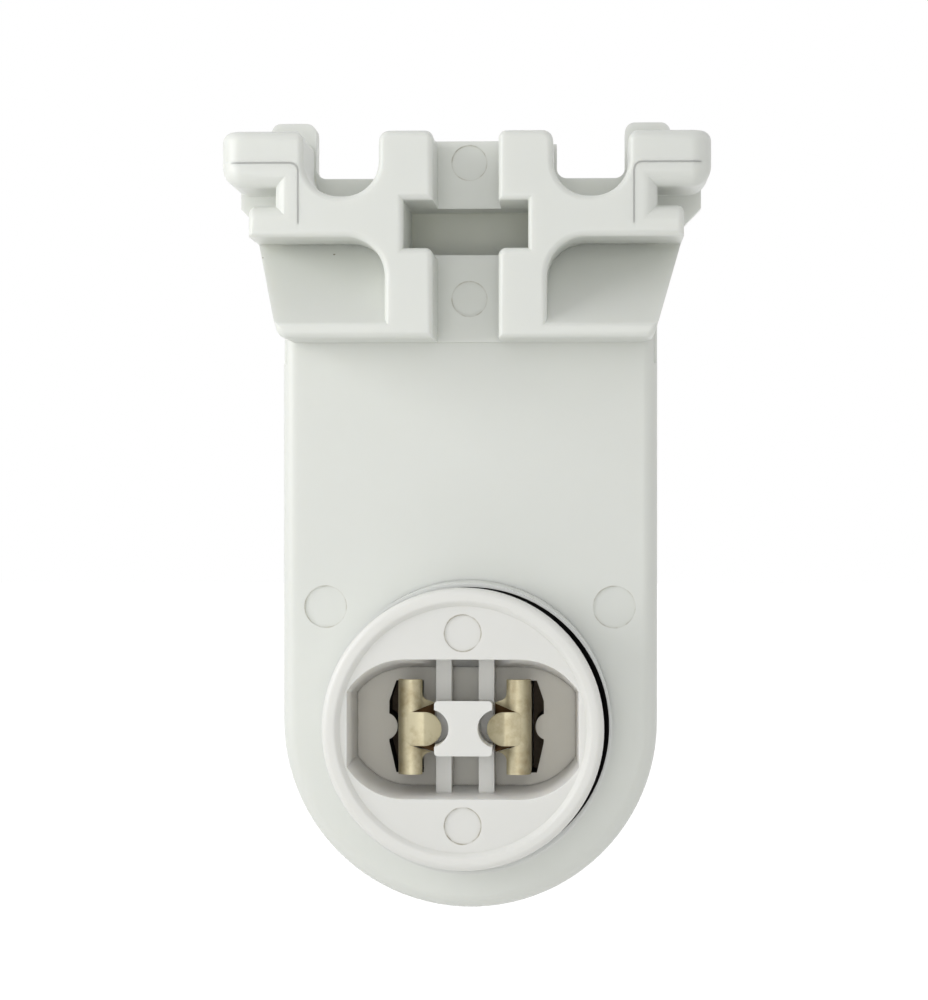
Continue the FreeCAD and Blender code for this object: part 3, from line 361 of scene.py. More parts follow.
@dataclass(frozen=True)
class VulcanisedFibre:
    """Dark pressed paper board, dull and mottled by short fibres that lie every way."""

    name: str = "vulcanised_fibre"
    colour: str = "#5e5145"
    fibre_colour: str = "#8a7a68"
    fibre_mm: float = 0.25
    fibre_depth_mm: float = 0.01

    def build(self) -> bpy.types.Material:
        """Make the material."""
        material, tree = start_material(self.name)
        place = add_node(tree, "TexCoord").outputs["Object"]
        fibre = add_node(tree, "TexNoise", {
            "Scale": per_metre(self.fibre_mm), "Detail": 5.0, "Distortion": 1.5,
        }, {"Vector": place})
        tone = add_node(tree, "Mix", {
            "data_type": "RGBA", 6: linear(self.colour), 7: linear(self.fibre_colour),
        }, {0: fibre.outputs["Fac"]})
        bump = add_node(tree, "Bump", {"Strength": 0.6, "Distance": self.fibre_depth_mm * MM},
                        {"Height": fibre.outputs["Fac"]})
        shader = add_node(tree, "BsdfPrincipled", {"Roughness": 0.75, "IOR": 1.5}, {
            "Base Color": tone.outputs[2], "Normal": bump.outputs["Normal"],
        })
        add_node(tree, "OutputMaterial", {}, {"Surface": shader.outputs["BSDF"]})
        return material


def dress(node: str, material: bpy.types.Material) -> None:
    """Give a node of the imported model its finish.

    Args:
        node: The node's name.
        material: The finish for all its faces.
    """
    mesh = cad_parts[node].data
    mesh.materials.clear()
    mesh.materials.append(material)
    LOG.info("%s: dressed with %s", node, material.name)


def near_copy(node: str, join_flats: bool) -> bmesh.types.BMesh:
    """Copy a node's mesh with its corners merged.

    Args:
        node: The node's name.
        join_flats: Whether triangles that lie in one plane are joined into one face.

    Returns:
        The merged mesh, in metres.
    """
    shape = bmesh.new()
    shape.from_mesh(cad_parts[node].data)
    bmesh.ops.remove_doubles(shape, verts=shape.verts, dist=WELD_MM * MM)
    if join_flats:
        bmesh.ops.dissolve_limit(
            shape, angle_limit=math.radians(FLAT_DEGREES), use_dissolve_boundaries=False,
            verts=shape.verts, edges=shape.edges, delimit=set(),
        )
    return shape


def place_piece(shape: bmesh.types.BMesh, name: str, body: Rides | None,
                materials: list[bpy.types.Material], replaced: tuple[str, ...]) -> bpy.types.Object:
    """Turn a finished mesh into a piece of the part.

    Args:
        shape: The finished mesh; it is freed.
        name: The piece's name.
        body: The body that carries it, or none for a piece that rides on neither.
        materials: Its finishes, in the order of the faces' material numbers.
        replaced: The nodes it stands for.

    Returns:
        The new object.
    """
    mesh = bpy.data.meshes.new(name)
    shape.to_mesh(mesh)
    shape.free()
    for material in materials:
        mesh.materials.append(material)
    piece = bpy.data.objects.new(name, mesh)
    bpy.context.scene.collection.objects.link(piece)
    if body:
        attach(piece, body.value)
    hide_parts(*replaced)
    LOG.info("%s: %d faces", name, len(mesh.polygons))
    return piece


def soften_edges(piece: bpy.types.Object, width_mm: float) -> None:
    """Round a piece's weighted edges with a live bevel and smooth its normals.

    Args:
        piece: The piece, whose edges carry bevel weights.
        width_mm: Width of the rounding at full weight.
    """
    for polygon in piece.data.polygons:
        polygon.use_smooth = True
    bevel = piece.modifiers.new("soft_edges", "BEVEL")
    bevel.width = width_mm * MM
    bevel.segments = 3
    bevel.limit_method = "WEIGHT"
    bevel.miter_outer = "MITER_ARC"
    even = piece.modifiers.new("even_normals", "WEIGHTED_NORMAL")
    even.mode = "FACE_AREA"
    even.weight = 60


def room_beside(edge: bmesh.types.BMEdge) -> float:
    """Length in mm of the shortest edge that leaves an edge's ends across its own direction."""
    along = (edge.verts[1].co - edge.verts[0].co).normalized()
    lengths = [
        other.calc_length() / MM
        for vert in edge.verts for other in vert.link_edges
        if abs((other.other_vert(vert).co - vert.co).normalized().dot(along)) < CROSSING
    ]
    return min(lengths, default=0.0)


def weigh_edges(shape: bmesh.types.BMesh, width_mm: float, share: float = 1.0) -> bmesh.types.BMLayerItem:
    """Give every sharp edge a bevel weight that leaves its neighbours room.

    Args:
        shape: The mesh.
        width_mm: Width of the rounding at full weight.
        share: The greatest weight given.

    Returns:
        The layer that holds the weights.
    """
    layer = shape.edges.layers.float.new("bevel_weight_edge")
    for edge in shape.edges:
        if len(edge.link_faces) == 2 and edge.calc_face_angle(0.0) > math.radians(SHARP_DEGREES):
            edge[layer] = min(share, ROOM_SHARE * room_beside(edge) / width_mm)
    return layer


def ease(value: float) -> float:
    """Rise smoothly from 0 to 1 as the value goes from 0 to 1, and stay flat outside."""
    value = min(1.0, max(0.0, value))
    return value * value * (3 - 2 * value)


def smooth_by_angle(piece: bpy.types.Object, degrees: float) -> None:
    """Shade a piece smooth across its shallow edges only.

    Args:
        piece: The piece.
        degrees: Edges steeper than this stay crisp.
    """
    shape = bmesh.new()
    shape.from_mesh(piece.data)
    for face in shape.faces:
        face.smooth = True
    for edge in shape.edges:
        edge.smooth = not edge.is_manifold or edge.calc_face_angle(0.0) < math.radians(degrees)
    shape.to_mesh(piece.data)
    shape.free()


@dataclass(frozen=True)
class Shell:
    """The fixed moulded shell: front housing with its foot, and the flat back cover."""

    edge_mm: float = 0.2
    seam_half_mm: float = 0.07
    seam_rise_mm: float = 0.005
    seam_sunk_mm: float = 0.01
    seam_outer_mm: float = 17.9
    seam_inner_mm: float = 12.8
    seam_up_mm: float = 43.24
    seam_turn_mm: float = 0.6
    seam_down_mm: float = 42.6
    seam_step_mm: float = 0.25
    seam_across_count: int = 19
    seam_down_count: int = 16
    window_half_mm: float = 4.8
    window_low_mm: float = 36.7
    window_high_mm: float = 40.45
    window_floor_stand_mm: float = 16.3
    window_deeper_mm: float = 2.0
    ray_stand_mm: float = 60.0
    plastic: MouldedUrea = MouldedUrea(
        "shell_urea", "#e4e6e1", "#e0e2dd",
        rings=((-11.4, 9.05, 1.65), (11.4, 9.05, 1.65), (0.0, 33.3, 1.38), (0.0, 44.0, 1.38)),
    )
    # A darker copy of the plastic for the window's floor: painted shade.
    window_shade_plastic: MouldedUrea = MouldedUrea("window_shade_urea", "#dcded8", "#d2d4cd", roughness=0.7)
    cover_plastic: MouldedUrea = MouldedUrea("cover_urea", "#e3e5e1", "#dde0dc")

    def seam(self, side: int) -> list[Vector]:
        """Trace the mould's parting line over a lug, in mm from the lamp axis.

        Args:
            side: -1 for the left lug, 1 for the right one.

        Returns:
            Points as seen from the front.
        """
        inner, turn_mm, step_mm = self.seam_inner_mm, self.seam_turn_mm, self.seam_step_mm
        across = [Vector((side * (self.seam_outer_mm - step_mm * step), self.seam_up_mm))
                  for step in range(self.seam_across_count)]
        turn = [Vector((side * (inner + turn_mm - turn_mm * math.sin(angle)),
                        self.seam_up_mm - turn_mm * (1 - math.cos(angle))))
                for angle in (0.0, 0.4, 0.8, 1.2, math.pi / 2)]
        down = [Vector((side * inner, self.seam_down_mm - step_mm * step))
                for step in range(1, self.seam_down_count + 1)]
        return across + turn + down

    def in_window(self, spot: Vector, stand_mm: float) -> bool:
        """Tell whether a place in metres lies within the window, at a stand in mm."""
        across, stand, up = spot.x / MM, -spot.y / MM, spot.z / MM
        framed = abs(across) < self.window_half_mm and self.window_low_mm < up < self.window_high_mm
        return framed and abs(stand - stand_mm) < NEAR_MM

    def sink_window(self, shape: bmesh.types.BMesh) -> None:
        """Let the window's floor lie deeper behind the channel, in a darker copy of the plastic that paints
        shade on it.
        """
        for vert in shape.verts:
            if self.in_window(vert.co, self.window_floor_stand_mm):
                vert.co.y += self.window_deeper_mm * MM
        # The sunk floor's faces get material 1, the darker copy: painted shade.
        for face in shape.faces:
            middle = face.calc_center_median()
            deep = self.in_window(middle, self.window_floor_stand_mm - self.window_deeper_mm)
            face.material_index = int(deep)

    def raise_seam(self, shape: bmesh.types.BMesh, side: int) -> None:
        """Lay the thin ridge of the parting line on the lug's skin.

        Args:
            shape: The housing's mesh; the ridge is added to it.
            side: -1 for the left lug, 1 for the right one.
        """
        skin = BVHTree.FromBMesh(shape)
        points = self.seam(side)
        rows = []
        for before, here, after in zip([points[0]] + points, points, points[1:] + [points[-1]]):
            heading = (after - before).normalized()
            aside = Vector((-heading.y, heading.x)) * self.seam_half_mm
            row = []
            for spot, lift in ((here - aside, -self.seam_sunk_mm), (here, self.seam_rise_mm),
                               (here + aside, -self.seam_sunk_mm)):
                start = Vector((spot.x, -self.ray_stand_mm, spot.y)) * MM
                hit = skin.ray_cast(start, Vector((0, 1, 0)))[0]
                row.append(shape.verts.new(hit - Vector((0, lift * MM, 0))))
            rows.append(row)
        for first, second in zip(rows, rows[1:]):
            for column in (0, 1):
                face = shape.faces.new((first[column], first[column + 1],
                                        second[column + 1], second[column]))
                face.normal_update()
                if face.normal.y > 0:
                    face.normal_flip()

    def build(self) -> None:
        """Round the housing's crisp edges, lay its parting lines and dress the cover."""
        shape = near_copy("front_housing", join_flats=True)
        self.sink_window(shape)
        weigh_edges(shape, self.edge_mm)
        for side in SIDES:
            self.raise_seam(shape, side)
        housing = place_piece(shape, "housing_shell", Rides.HOLDER,
                              [self.plastic.build(), self.window_shade_plastic.build()], ("front_housing",))
        soften_edges(housing, self.edge_mm)
        dress("back_cover", self.cover_plastic.build())


@dataclass(frozen=True)
class Turret:
    """The moving plunger: sleeve, rimmed insert, contact block and what clamps them."""

    shift_mm: float = 0.17
    face_stand_mm: float = 28.1
    floor_stand_mm: float = 20.0
    rim_inner_mm: float = 9.35
    mouth_edge_mm: float = 0.45
    mouth_share: float = 0.22
    mouth_least: float = 0.12
    mouth_land_mm: float = 0.7
    recess_reach_mm: float = 9.9
    post_room_mm: float = 2.3
    post_corner_mm: float = 0.7
    wall_reach_mm: float = 4.1
    wall_height_mm: float = 7.1
    wall_side_start_mm: float = 4.5
    wall_side_span_mm: float = 4.0
    recess_end_mm: float = 5.3
    barrel_mm: float = 10.15
    post_half_mm: float = 2.2
    post_half_height_mm: float = 2.1
    post_stand_mm: float = 27.3
    post_lean_mm: float = 0.5
    ledge_stand_mm: float = 24.3
    ledge_drop_mm: float = 1.2
    wall_top_draft_mm: float = 1.05
    wall_bottom_draft_mm: float = 0.3
    wall_side_draft_mm: float = 0.25
    sleeve_mm: float = 11.1
    sleeve_fit_mm: float = 11.17
    lip_bore_mm: float = 10.85
    lip_fit_mm: float = 10.66
    lip_offset_mm: tuple[float, float] = (0.28, 0.19)
    slot_leg_mm: float = 5.2
    wall_tilt: float = 0.1
    slot_inner_mm: float = 2.5
    slot_outer_mm: float = 7.3
    slot_low_mm: float = -4.15
    slot_high_mm: float = 3.35
    flap_stands_mm: tuple[float, float] = (15.45, 15.8)
    nub_centre_mm: float = 6.3
    nub_mm: float = 0.9
    nub_drop_mm: float = 0.4
    nub_swell: float = 0.15
    sleeve_plastic: MouldedUrea = MouldedUrea("sleeve_urea", "#e2e4e0", "#dcdeda")
    insert_plastic: MouldedUrea = MouldedUrea(
        "insert_urea", "#e7e7e3", "#e2e2de", rings=((-0.17, 7.47, 1.4), (-0.17, -7.13, 1.4)),
        ring_strength=0.9, corner_shade_strength=0.55,
    )
    # A paler, milkier copy of the insert's plastic for the recess walls: painted light.
    lit_wall_plastic: MouldedUrea = MouldedUrea("lit_wall_urea", "#f3f2ef", "#efeeeb", roughness=0.45,
                                             milkiness=1.0, milk_mm=2.0, corner_shade_strength=0.45)
    block_plastic: MouldedUrea = MouldedUrea("block_urea", "#e4e2db", "#dedcd5", roughness=0.5,
                                             corner_shade_strength=0.55)
    # Near-black plastic for the deep gap round the insert and for the slot walls: painted shade.
    shade_black: MouldedUrea = MouldedUrea("shade_black_urea", "#141210", "#1c1916", roughness=0.75, milkiness=0.0)
    plate_fibre: VulcanisedFibre = VulcanisedFibre()

    def build(self) -> None:
        """Shape the insert and dress the other moulded pieces of the plunger."""
        self.fit_sleeve()
        self.shape_insert()
        self.blacken_slots()
        self.close_slots()

    def spot(self, place: Vector) -> tuple[float, float, float]:
        """Give a place in metres as across, stand and up in mm, from the plunger's own axis."""
        return place.x / MM + self.shift_mm, -place.y / MM, place.z / MM - self.shift_mm

    def lean_post(self, shape: bmesh.types.BMesh) -> None:
        """Lean the post's upper side inward towards the floor, and sink the ledges in its notches.

        Args:
            shape: The insert's mesh.
        """
        height = self.post_stand_mm - self.floor_stand_mm
        for vert in shape.verts:
            across, stand, up = self.spot(vert.co)
            if abs(across) > self.post_half_mm + LOOSE_MM or stand > self.post_stand_mm - NEAR_MM:
                continue
            top = self.post_half_height_mm
            if top - self.post_corner_mm < up < top + NEAR_MM:
                vert.co.z -= self.post_lean_mm * (self.post_stand_mm - stand) / height * MM
            if abs(stand - self.ledge_stand_mm) < NEAR_MM:
                vert.co.y += self.ledge_drop_mm * MM

    def fit_sleeve(self) -> None:
        """Let the sleeve fill its hole, and thin its lip to a feather edge."""
        shape = near_copy("plunger_sleeve", join_flats=False)
        # The bore inside the lip gets material 1, near-black painted shade of the deep gap.
        for face in shape.faces:
            reaches = [math.hypot(vert.co.x, vert.co.z) / MM for vert in face.verts]
            bored = min(reaches) > self.barrel_mm and max(reaches) < self.lip_bore_mm + NEAR_MM
            face.material_index = int(bored)
        moves = (
            (self.sleeve_mm, self.sleeve_fit_mm, (0.0, 0.0)),
            (self.lip_bore_mm, self.lip_fit_mm, self.lip_offset_mm),
        )
        for vert in shape.verts:
            radius = math.hypot(vert.co.x, vert.co.z) / MM
            for nominal, fitted, offset in moves:
                if abs(radius - nominal) < NEAR_MM:
                    vert.co.x = vert.co.x * fitted / radius + offset[0] * MM
                    vert.co.z = vert.co.z * fitted / radius + offset[1] * MM
                    break
        sleeve = place_piece(shape, "turret_sleeve", Rides.PLUNGER,
                             [self.sleeve_plastic.build(), self.shade_black.build()], ("plunger_sleeve",))
        smooth_by_angle(sleeve, SHARP_DEGREES)

    def blacken_slots(self) -> None:
        """Lower the nubs, and paint the walls of the contact slots near-black as painted shade."""
        shape = near_copy("contact_block", join_flats=False)
        for vert in shape.verts:
            across, _, up = self.spot(vert.co)
            inward = self.nub_centre_mm - abs(across)
            if abs(math.hypot(inward, up) - self.nub_mm) < NEAR_MM and inward > NEAR_MM:
                vert.co.z += (up * self.nub_swell - self.nub_drop_mm) * MM
        # The slot walls get material 1, near-black painted shade.
        for face in shape.faces:
            across, _, up = self.spot(face.calc_center_median())
            upright = abs(face.normal.y) < self.wall_tilt
            slotted = self.slot_inner_mm < abs(across) < self.slot_outer_mm
            face.material_index = int(upright and slotted and self.slot_low_mm < up < self.slot_high_mm)
        block = place_piece(shape, "turret_floor", Rides.PLUNGER,
                            [self.block_plastic.build(), self.shade_black.build()], ("contact_block",))
        smooth_by_angle(block, SHARP_DEGREES)

    def close_slots(self) -> None:
        """Close the slots outside the contact legs with flaps of the backing plate."""
        shape = near_copy("backing_plate", join_flats=False)
        back, front = self.flap_stands_mm
        for side in SIDES:
            middle = Vector((
                side * (self.slot_leg_mm + self.slot_outer_mm) / 2 - self.shift_mm,
                -(back + front) / 2,
                (self.slot_low_mm + self.slot_high_mm) / 2 + self.shift_mm,
            ))
            span = Vector((
                self.slot_outer_mm - self.slot_leg_mm, front - back, self.slot_high_mm - self.slot_low_mm,
            ))
            flap = bmesh.ops.create_cube(shape, size=1.0)["verts"]
            bmesh.ops.scale(shape, vec=span * MM, verts=flap)
            bmesh.ops.translate(shape, vec=middle * MM, verts=flap)
        plate = place_piece(shape, "flapped_plate", Rides.PLUNGER,
                            [self.plate_fibre.build()], ("backing_plate",))
        smooth_by_angle(plate, SHARP_DEGREES)

    def draft_recess(self, shape: bmesh.types.BMesh) -> None:
        """Let the recess narrow towards its floor, as it must to leave its mould.

        Args:
            shape: The insert's mesh.
        """
        for vert in shape.verts:
            across, stand, up = self.spot(vert.co)
            outside = math.hypot(across, up) > self.recess_reach_mm or abs(up) < self.post_room_mm
            if outside or abs(stand - self.floor_stand_mm) > NEAR_MM:
                continue
            draft = self.wall_top_draft_mm if up > 0 else self.wall_bottom_draft_mm
            vert.co.z -= draft * up / self.recess_end_mm * MM
            turned = ease((abs(across) - self.wall_side_start_mm) / self.wall_side_span_mm)
            vert.co.x -= math.copysign(self.wall_side_draft_mm * turned, across) * MM

    def weigh_mouth(self, shape: bmesh.types.BMesh) -> None:
        """Weigh the insert's edges: the recess's mouth is rounded most, where the rim leaves room.

        Args:
            shape: The insert's mesh.
        """
        layer = weigh_edges(shape, self.mouth_edge_mm, self.mouth_share)
        for edge in shape.edges:
            spots = [self.spot(vert.co) for vert in edge.verts]
            land = self.rim_inner_mm - max(math.hypot(across, up) for across, _, up in spots)
            on_face = all(abs(stand - self.face_stand_mm) < NEAR_MM for _, stand, _ in spots)
            if on_face and land > NEAR_MM and edge[layer] > 0:
                edge[layer] = min(1.0, max(self.mouth_least, land / self.mouth_land_mm),
                                  ROOM_SHARE * room_beside(edge) / self.mouth_edge_mm)

    def paint_insert(self, shape: bmesh.types.BMesh) -> None:
        """Number the insert's faces: 1 for the barrel, near-black painted shade of the gap round it; 2 for
        the recess's walls, paler as painted light.

        Args:
            shape: The insert's mesh.
        """
        for face in shape.faces:
            spots = [self.spot(vert.co) for vert in face.verts]
            reaches = [math.hypot(across, up) for across, _, up in spots]
            lowest = min(stand for _, stand, _ in spots)
            inside = max(reaches) < self.rim_inner_mm and min(reaches) > self.wall_reach_mm
            face.material_index = int(max(abs(reach - self.barrel_mm) for reach in reaches) < LOOSE_MM)
            if inside and -NEAR_MM < lowest - self.floor_stand_mm < self.wall_height_mm:
                face.material_index = 2

    def shape_insert(self) -> None:
        """Give the recess its draft, and its mouth, ribs and post their rounded edges."""
        shape = near_copy("socket_insert", join_flats=True)
        self.draft_recess(shape)
        self.lean_post(shape)
        self.weigh_mouth(shape)
        self.paint_insert(shape)
        insert = place_piece(shape, "turret_insert", Rides.PLUNGER,
                             [self.insert_plastic.build(), self.shade_black.build(), self.lit_wall_plastic.build()],
                             ("socket_insert",))
        soften_edges(insert, self.mouth_edge_mm)


@dataclass(frozen=True)
class StripContact:
    """One contact, pressed from thin strip: an arched saddle with ears and a lanced tongue."""

    side: int
    name: str
    shift_mm: float = 0.17
    outer_mm: float = 5.1
    crown_mm: float = 1.0
    crown_stand_mm: float = 25.0
    crown_degrees: float = 150.0
    inner_fall_degrees: float = 35.0
    foot_stand_mm: float = 15.6
    top_mm: float = 3.65
    leg_top_mm: float = 3.05
    leg_shoulder_stand_mm: float = 24.0
    leg_half_mm: float = 0.1
    drop_mm: float = 0.07
    ear_half_mm: float = 1.9
    ear_reach_mm: float = 1.15
    ear_blend_mm: float = 0.65
    strip_mm: float = 0.3
    rim_mm: float = 0.05
    row_crowding: float = 0.8
    tip_crowding: float = 1.4
    tongue_half_mm: float = 1.3
    tongue_corner_mm: float = 0.25
    tongue_root_mm: float = 4.35
    tongue_tip_mm: float = 1.74
    tongue_lift_mm: float = 0.02
    tongue_rise_mm: float = 0.2
    tongue_rise_span_mm: float = 1.1
    tongue_fold_mm: float = 1.25
    tongue_fall: float = 0.26
    tongue_drop_mm: float = 0.13
    tongue_weld_mm: float = 0.002
    lance_start_mm: float = 4.0
    lance_flare: float = 0.36
    lance_depth_mm: float = 2.2
    lance_snap_mm: float = 0.09
    web_lap_mm: float = 0.1
    web_trim_mm: float = 0.02
    web_inner_mm: float = 2.3
    web_half_mm: float = 1.92
    web_stands_mm: tuple[float, float] = (24.35, 23.3)

    def saddle_point(self, along: float) -> tuple[float, float]:
        """Follow the saddle's section from its outer foot over the crown to its inner edge.

        Args:
            along: Distance along the section from the foot, in mm.

        Returns:
            Distance from the middle plane and stand, both in mm.
        """
        straight = self.crown_stand_mm - self.crown_mm - self.foot_stand_mm
        if along < straight:
            return self.outer_mm, self.foot_stand_mm + along
        turn = (along - straight) / self.crown_mm
        bent = min(turn, math.radians(self.crown_degrees))
        across = self.outer_mm - self.crown_mm + self.crown_mm * math.cos(bent)
        stand = self.crown_stand_mm - self.crown_mm + self.crown_mm * math.sin(bent)
        rest = (turn - bent) * self.crown_mm
        fall = math.radians(self.inner_fall_degrees)
        return across - rest * math.cos(fall), stand - rest * math.sin(fall)

    def ear(self, up: float) -> float:
        """Length of the ear beyond the saddle's inner edge at a height, in mm."""
        share = (self.ear_half_mm + self.ear_blend_mm - abs(up)) / self.ear_blend_mm
        share = min(1.0, max(0.0, share))
        return self.ear_reach_mm * (1 - math.sqrt(max(0.0, 1 - share * share)))

    def saddle(self) -> bmesh.types.BMesh:
        """Bend a flat grid into the saddle with its two ears."""
        shape = bmesh.new()
        bmesh.ops.create_grid(shape, x_segments=44, y_segments=72, size=0.5)
        straight = self.crown_stand_mm - self.crown_mm - self.foot_stand_mm
        arch = straight + self.crown_mm * math.radians(self.crown_degrees)
        for vert in shape.verts:
            share, up = vert.co.x + 0.5, vert.co.y * 2 * self.top_mm
            along = (arch + self.ear(up)) * share ** self.row_crowding
            across, stand = self.saddle_point(along)
            if stand < self.leg_shoulder_stand_mm and across > self.outer_mm - self.leg_half_mm:
                up = min(up, self.leg_top_mm)
            vert.co = Vector((across, -stand, up)) * MM
        self.lance(shape)
        return shape

    def lance_room(self, place: Vector) -> float:
        """Distance in mm from the lanced tongue's cut line, less than 0 where the strip is cut away."""
        spot = place / MM
        if -spot.y < self.crown_stand_mm - self.lance_depth_mm or spot.x > self.lance_start_mm:
            return math.inf
        half = self.tongue_half_mm + self.lance_flare * (self.lance_start_mm - spot.x)
        return abs(spot.z + self.tongue_drop_mm) - half

    def lance(self, shape: bmesh.types.BMesh) -> None:
        """Cut the saddle's inner side open where its tongue was lanced out, between the flared ears.

        Args:
            shape: The saddle's sheet.
        """
        lanced = [face for face in shape.faces if self.lance_room(face.calc_center_median()) < 0]
        bmesh.ops.delete(shape, geom=lanced, context="FACES")
        for vert in shape.verts:
            room = self.lance_room(vert.co)
            if abs(room) < self.lance_snap_mm:
                vert.co.z -= room * math.copysign(MM, vert.co.z + self.tongue_drop_mm * MM)

    def tongue(self) -> bmesh.types.BMesh:
        """Bend a flat grid into the round-tipped tongue."""
        shape = bmesh.new()
        bmesh.ops.create_grid(shape, x_segments=30, y_segments=14, size=0.5)
        length = self.tongue_root_mm - self.tongue_tip_mm
        for vert in shape.verts:
            share = vert.co.x + 0.5
            along = length * (1 - (1 - share) ** self.tip_crowding)
            left = length - along
            half = self.tongue_half_mm
            if left < half:
                half = math.sqrt(max(0.0, half * half - (half - left) ** 2))
            cut = max(0.0, self.tongue_corner_mm - along)
            half = min(half, self.tongue_half_mm - cut)
            rise = self.tongue_rise_mm * math.sin(min(1.0, along / self.tongue_rise_span_mm) * math.pi / 2)
            fall = self.tongue_fall * max(0.0, along - self.tongue_fold_mm)
            stand = self.crown_stand_mm + self.tongue_lift_mm + rise - fall
            up = vert.co.y * 2 * half - self.tongue_drop_mm
            vert.co = Vector((self.tongue_root_mm - along, -stand, up)) * MM
        bmesh.ops.remove_doubles(shape, verts=shape.verts, dist=self.tongue_weld_mm * MM)
        return shape

    def web(self) -> bmesh.types.BMesh:
        """Slope the lower ply of the strip that shows beside the tongue, between the ears."""
        shape = bmesh.new()
        bmesh.ops.create_grid(shape, x_segments=6, y_segments=6, size=0.5)
        root = self.lance_start_mm + self.web_lap_mm
        high, low = self.web_stands_mm
        for vert in shape.verts:
            share = vert.co.x + 0.5
            across = root + (self.web_inner_mm - root) * share
            half = self.tongue_half_mm - self.web_trim_mm + (self.web_half_mm - self.tongue_half_mm) * share
            stand = high + (low - high) * share
            vert.co = Vector((across, -stand, vert.co.y * 2 * half - self.tongue_drop_mm)) * MM
        return shape

    def thicken(self, shape: bmesh.types.BMesh) -> None:
        """Give a bent sheet the strip's thickness, with its sheared edges marked.

        Args:
            shape: The sheet; its rim faces get material number 1.
        """
        for vert in shape.verts:
            vert.co.x = (vert.co.x - self.shift_mm * MM * self.side) * self.side
            vert.co.z += (self.shift_mm - self.drop_mm) * MM
        bmesh.ops.recalc_face_normals(shape, faces=shape.faces)
        front = max(shape.faces, key=lambda face: -face.calc_center_median().y)
        if front.normal.y > 0:
            bmesh.ops.reverse_faces(shape, faces=shape.faces)
        sheet = set(shape.verts)
        bmesh.ops.solidify(shape, geom=shape.faces, thickness=self.strip_mm * MM)
        for face in shape.faces:
            face.smooth = True
            kinds = {vert in sheet for vert in face.verts}
            face.material_index = 1 if len(kinds) == 2 else 0
        bmesh.ops.recalc_face_normals(shape, faces=shape.faces)
        rims = {edge for face in shape.faces if face.material_index == 1 for edge in face.edges
                if any(other.material_index == 0 for other in edge.link_faces)}
        bmesh.ops.bevel(shape, geom=list(rims), offset=self.rim_mm * MM, offset_type="OFFSET", segments=2,
                        profile=0.5, affect="EDGES", material=-1, clamp_overlap=True)

    def build(self, metal: bpy.types.Material, sheared: bpy.types.Material,
              bronze: bpy.types.Material) -> None:
        """Make the contact.

        Args:
            metal: The plated finish of its two faces.
            sheared: The bare finish of its cut edges.
            bronze: The finish of its lower ply, the strap's darker bronze, which paints the shade the ply
                lies in.
        """
        whole = bmesh.new()
        scratch = bpy.data.meshes.new("scratch")
        for shape, lower in ((self.saddle(), False), (self.tongue(), False), (self.web(), True)):
            self.thicken(shape)
            # The lower ply takes the darker bronze: painted shade on the same strip.
            for face in shape.faces:
                face.material_index = 2 if lower else face.material_index
            shape.to_mesh(scratch)
            shape.free()
            whole.from_mesh(scratch)
        bpy.data.meshes.remove(scratch)
        piece = place_piece(whole, f"{self.name}_strip_contact", Rides.PLUNGER,
                            [metal, sheared, bronze], (f"{self.name}_contact",))
        smooth_by_angle(piece, BENT_DEGREES)


@dataclass(frozen=True)
class Metalwork:
    """Contacts, terminals, straps, screws and the spring."""

    contact_metal: PlatedMetal = PlatedMetal("tinned_brass", "#bfb79b", "#98896b", roughness=0.44)
    # Its dark bronze also colours the contacts' lower ply, where it is painted shade.
    strap_metal: PlatedMetal = PlatedMetal("dull_bronze", "#6b5238", "#3c2c1e", roughness=0.5)
    sheared_edge: PlatedMetal = PlatedMetal("sheared_brass", "#8a6238", "#4c3018", roughness=0.45)
    steel: PlatedMetal = PlatedMetal("zinc_steel", "#c8c8c4", "#a9a59c", roughness=0.35)
    wire: PlatedMetal = PlatedMetal("spring_wire", "#a8a8a6", "#8e8a84", roughness=0.4)
    joint: str = "plunger_slide"
    travel_mm: float = 8.0
    spring_stands_mm: tuple[float, float] = (2.2, 18.4)
    strap_clamp_up_mm: float = 22.0
    strap_joint_up_mm: float = 4.5
    strap_row_mm: float = 1.5
    strap_cut_mm: float = 0.001

    def coil_spring(self, wire: bpy.types.Material) -> None:
        """Give the spring its wire finish, on the holder, shaded smooth.

        Args:
            wire: The finish of its wire.
        """
        shape = near_copy("plunger_spring", join_flats=False)
        piece = place_piece(shape, "coil_spring", Rides.HOLDER, [wire], ("plunger_spring",))
        smooth_by_angle(piece, BENT_DEGREES)
        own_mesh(piece)

    def flex_strap(self, name: str, bronze: bpy.types.Material) -> None:
        """Cut a strap into rows across its length, between its clamp on the holder and its contact on the
        plunger, and leave it on neither body.

        Args:
            name: The side it lies on.
            bronze: Its finish.
        """
        shape = near_copy(f"{name}_strap", join_flats=False)
        rows = round((self.strap_clamp_up_mm - self.strap_joint_up_mm) / self.strap_row_mm)
        for row in range(rows + 1):
            height = (self.strap_joint_up_mm + row * self.strap_row_mm) * MM
            bmesh.ops.bisect_plane(shape, geom=[*shape.verts, *shape.edges, *shape.faces],
                                   dist=self.strap_cut_mm * MM,
                                   plane_co=(0, 0, height), plane_no=(0, 0, 1))
        piece = place_piece(shape, f"{name}_flex_strap", None, [bronze],
                            (f"{name}_strap",))
        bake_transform(piece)

    def build(self) -> None:
        """Bend the contacts and dress the other metal pieces."""
        tinned, sheared = self.contact_metal.build(), self.sheared_edge.build()
        bronze = self.strap_metal.build()
        for name, side in (("left", -1), ("right", 1)):
            StripContact(side, name).build(tinned, sheared, bronze)
            dress(f"{name}_terminal", tinned)
            self.flex_strap(name, bronze)
        plated = self.steel.build()
        dress("cover_screws", plated)
        dress("insert_screws", plated)
        self.coil_spring(self.wire.build())


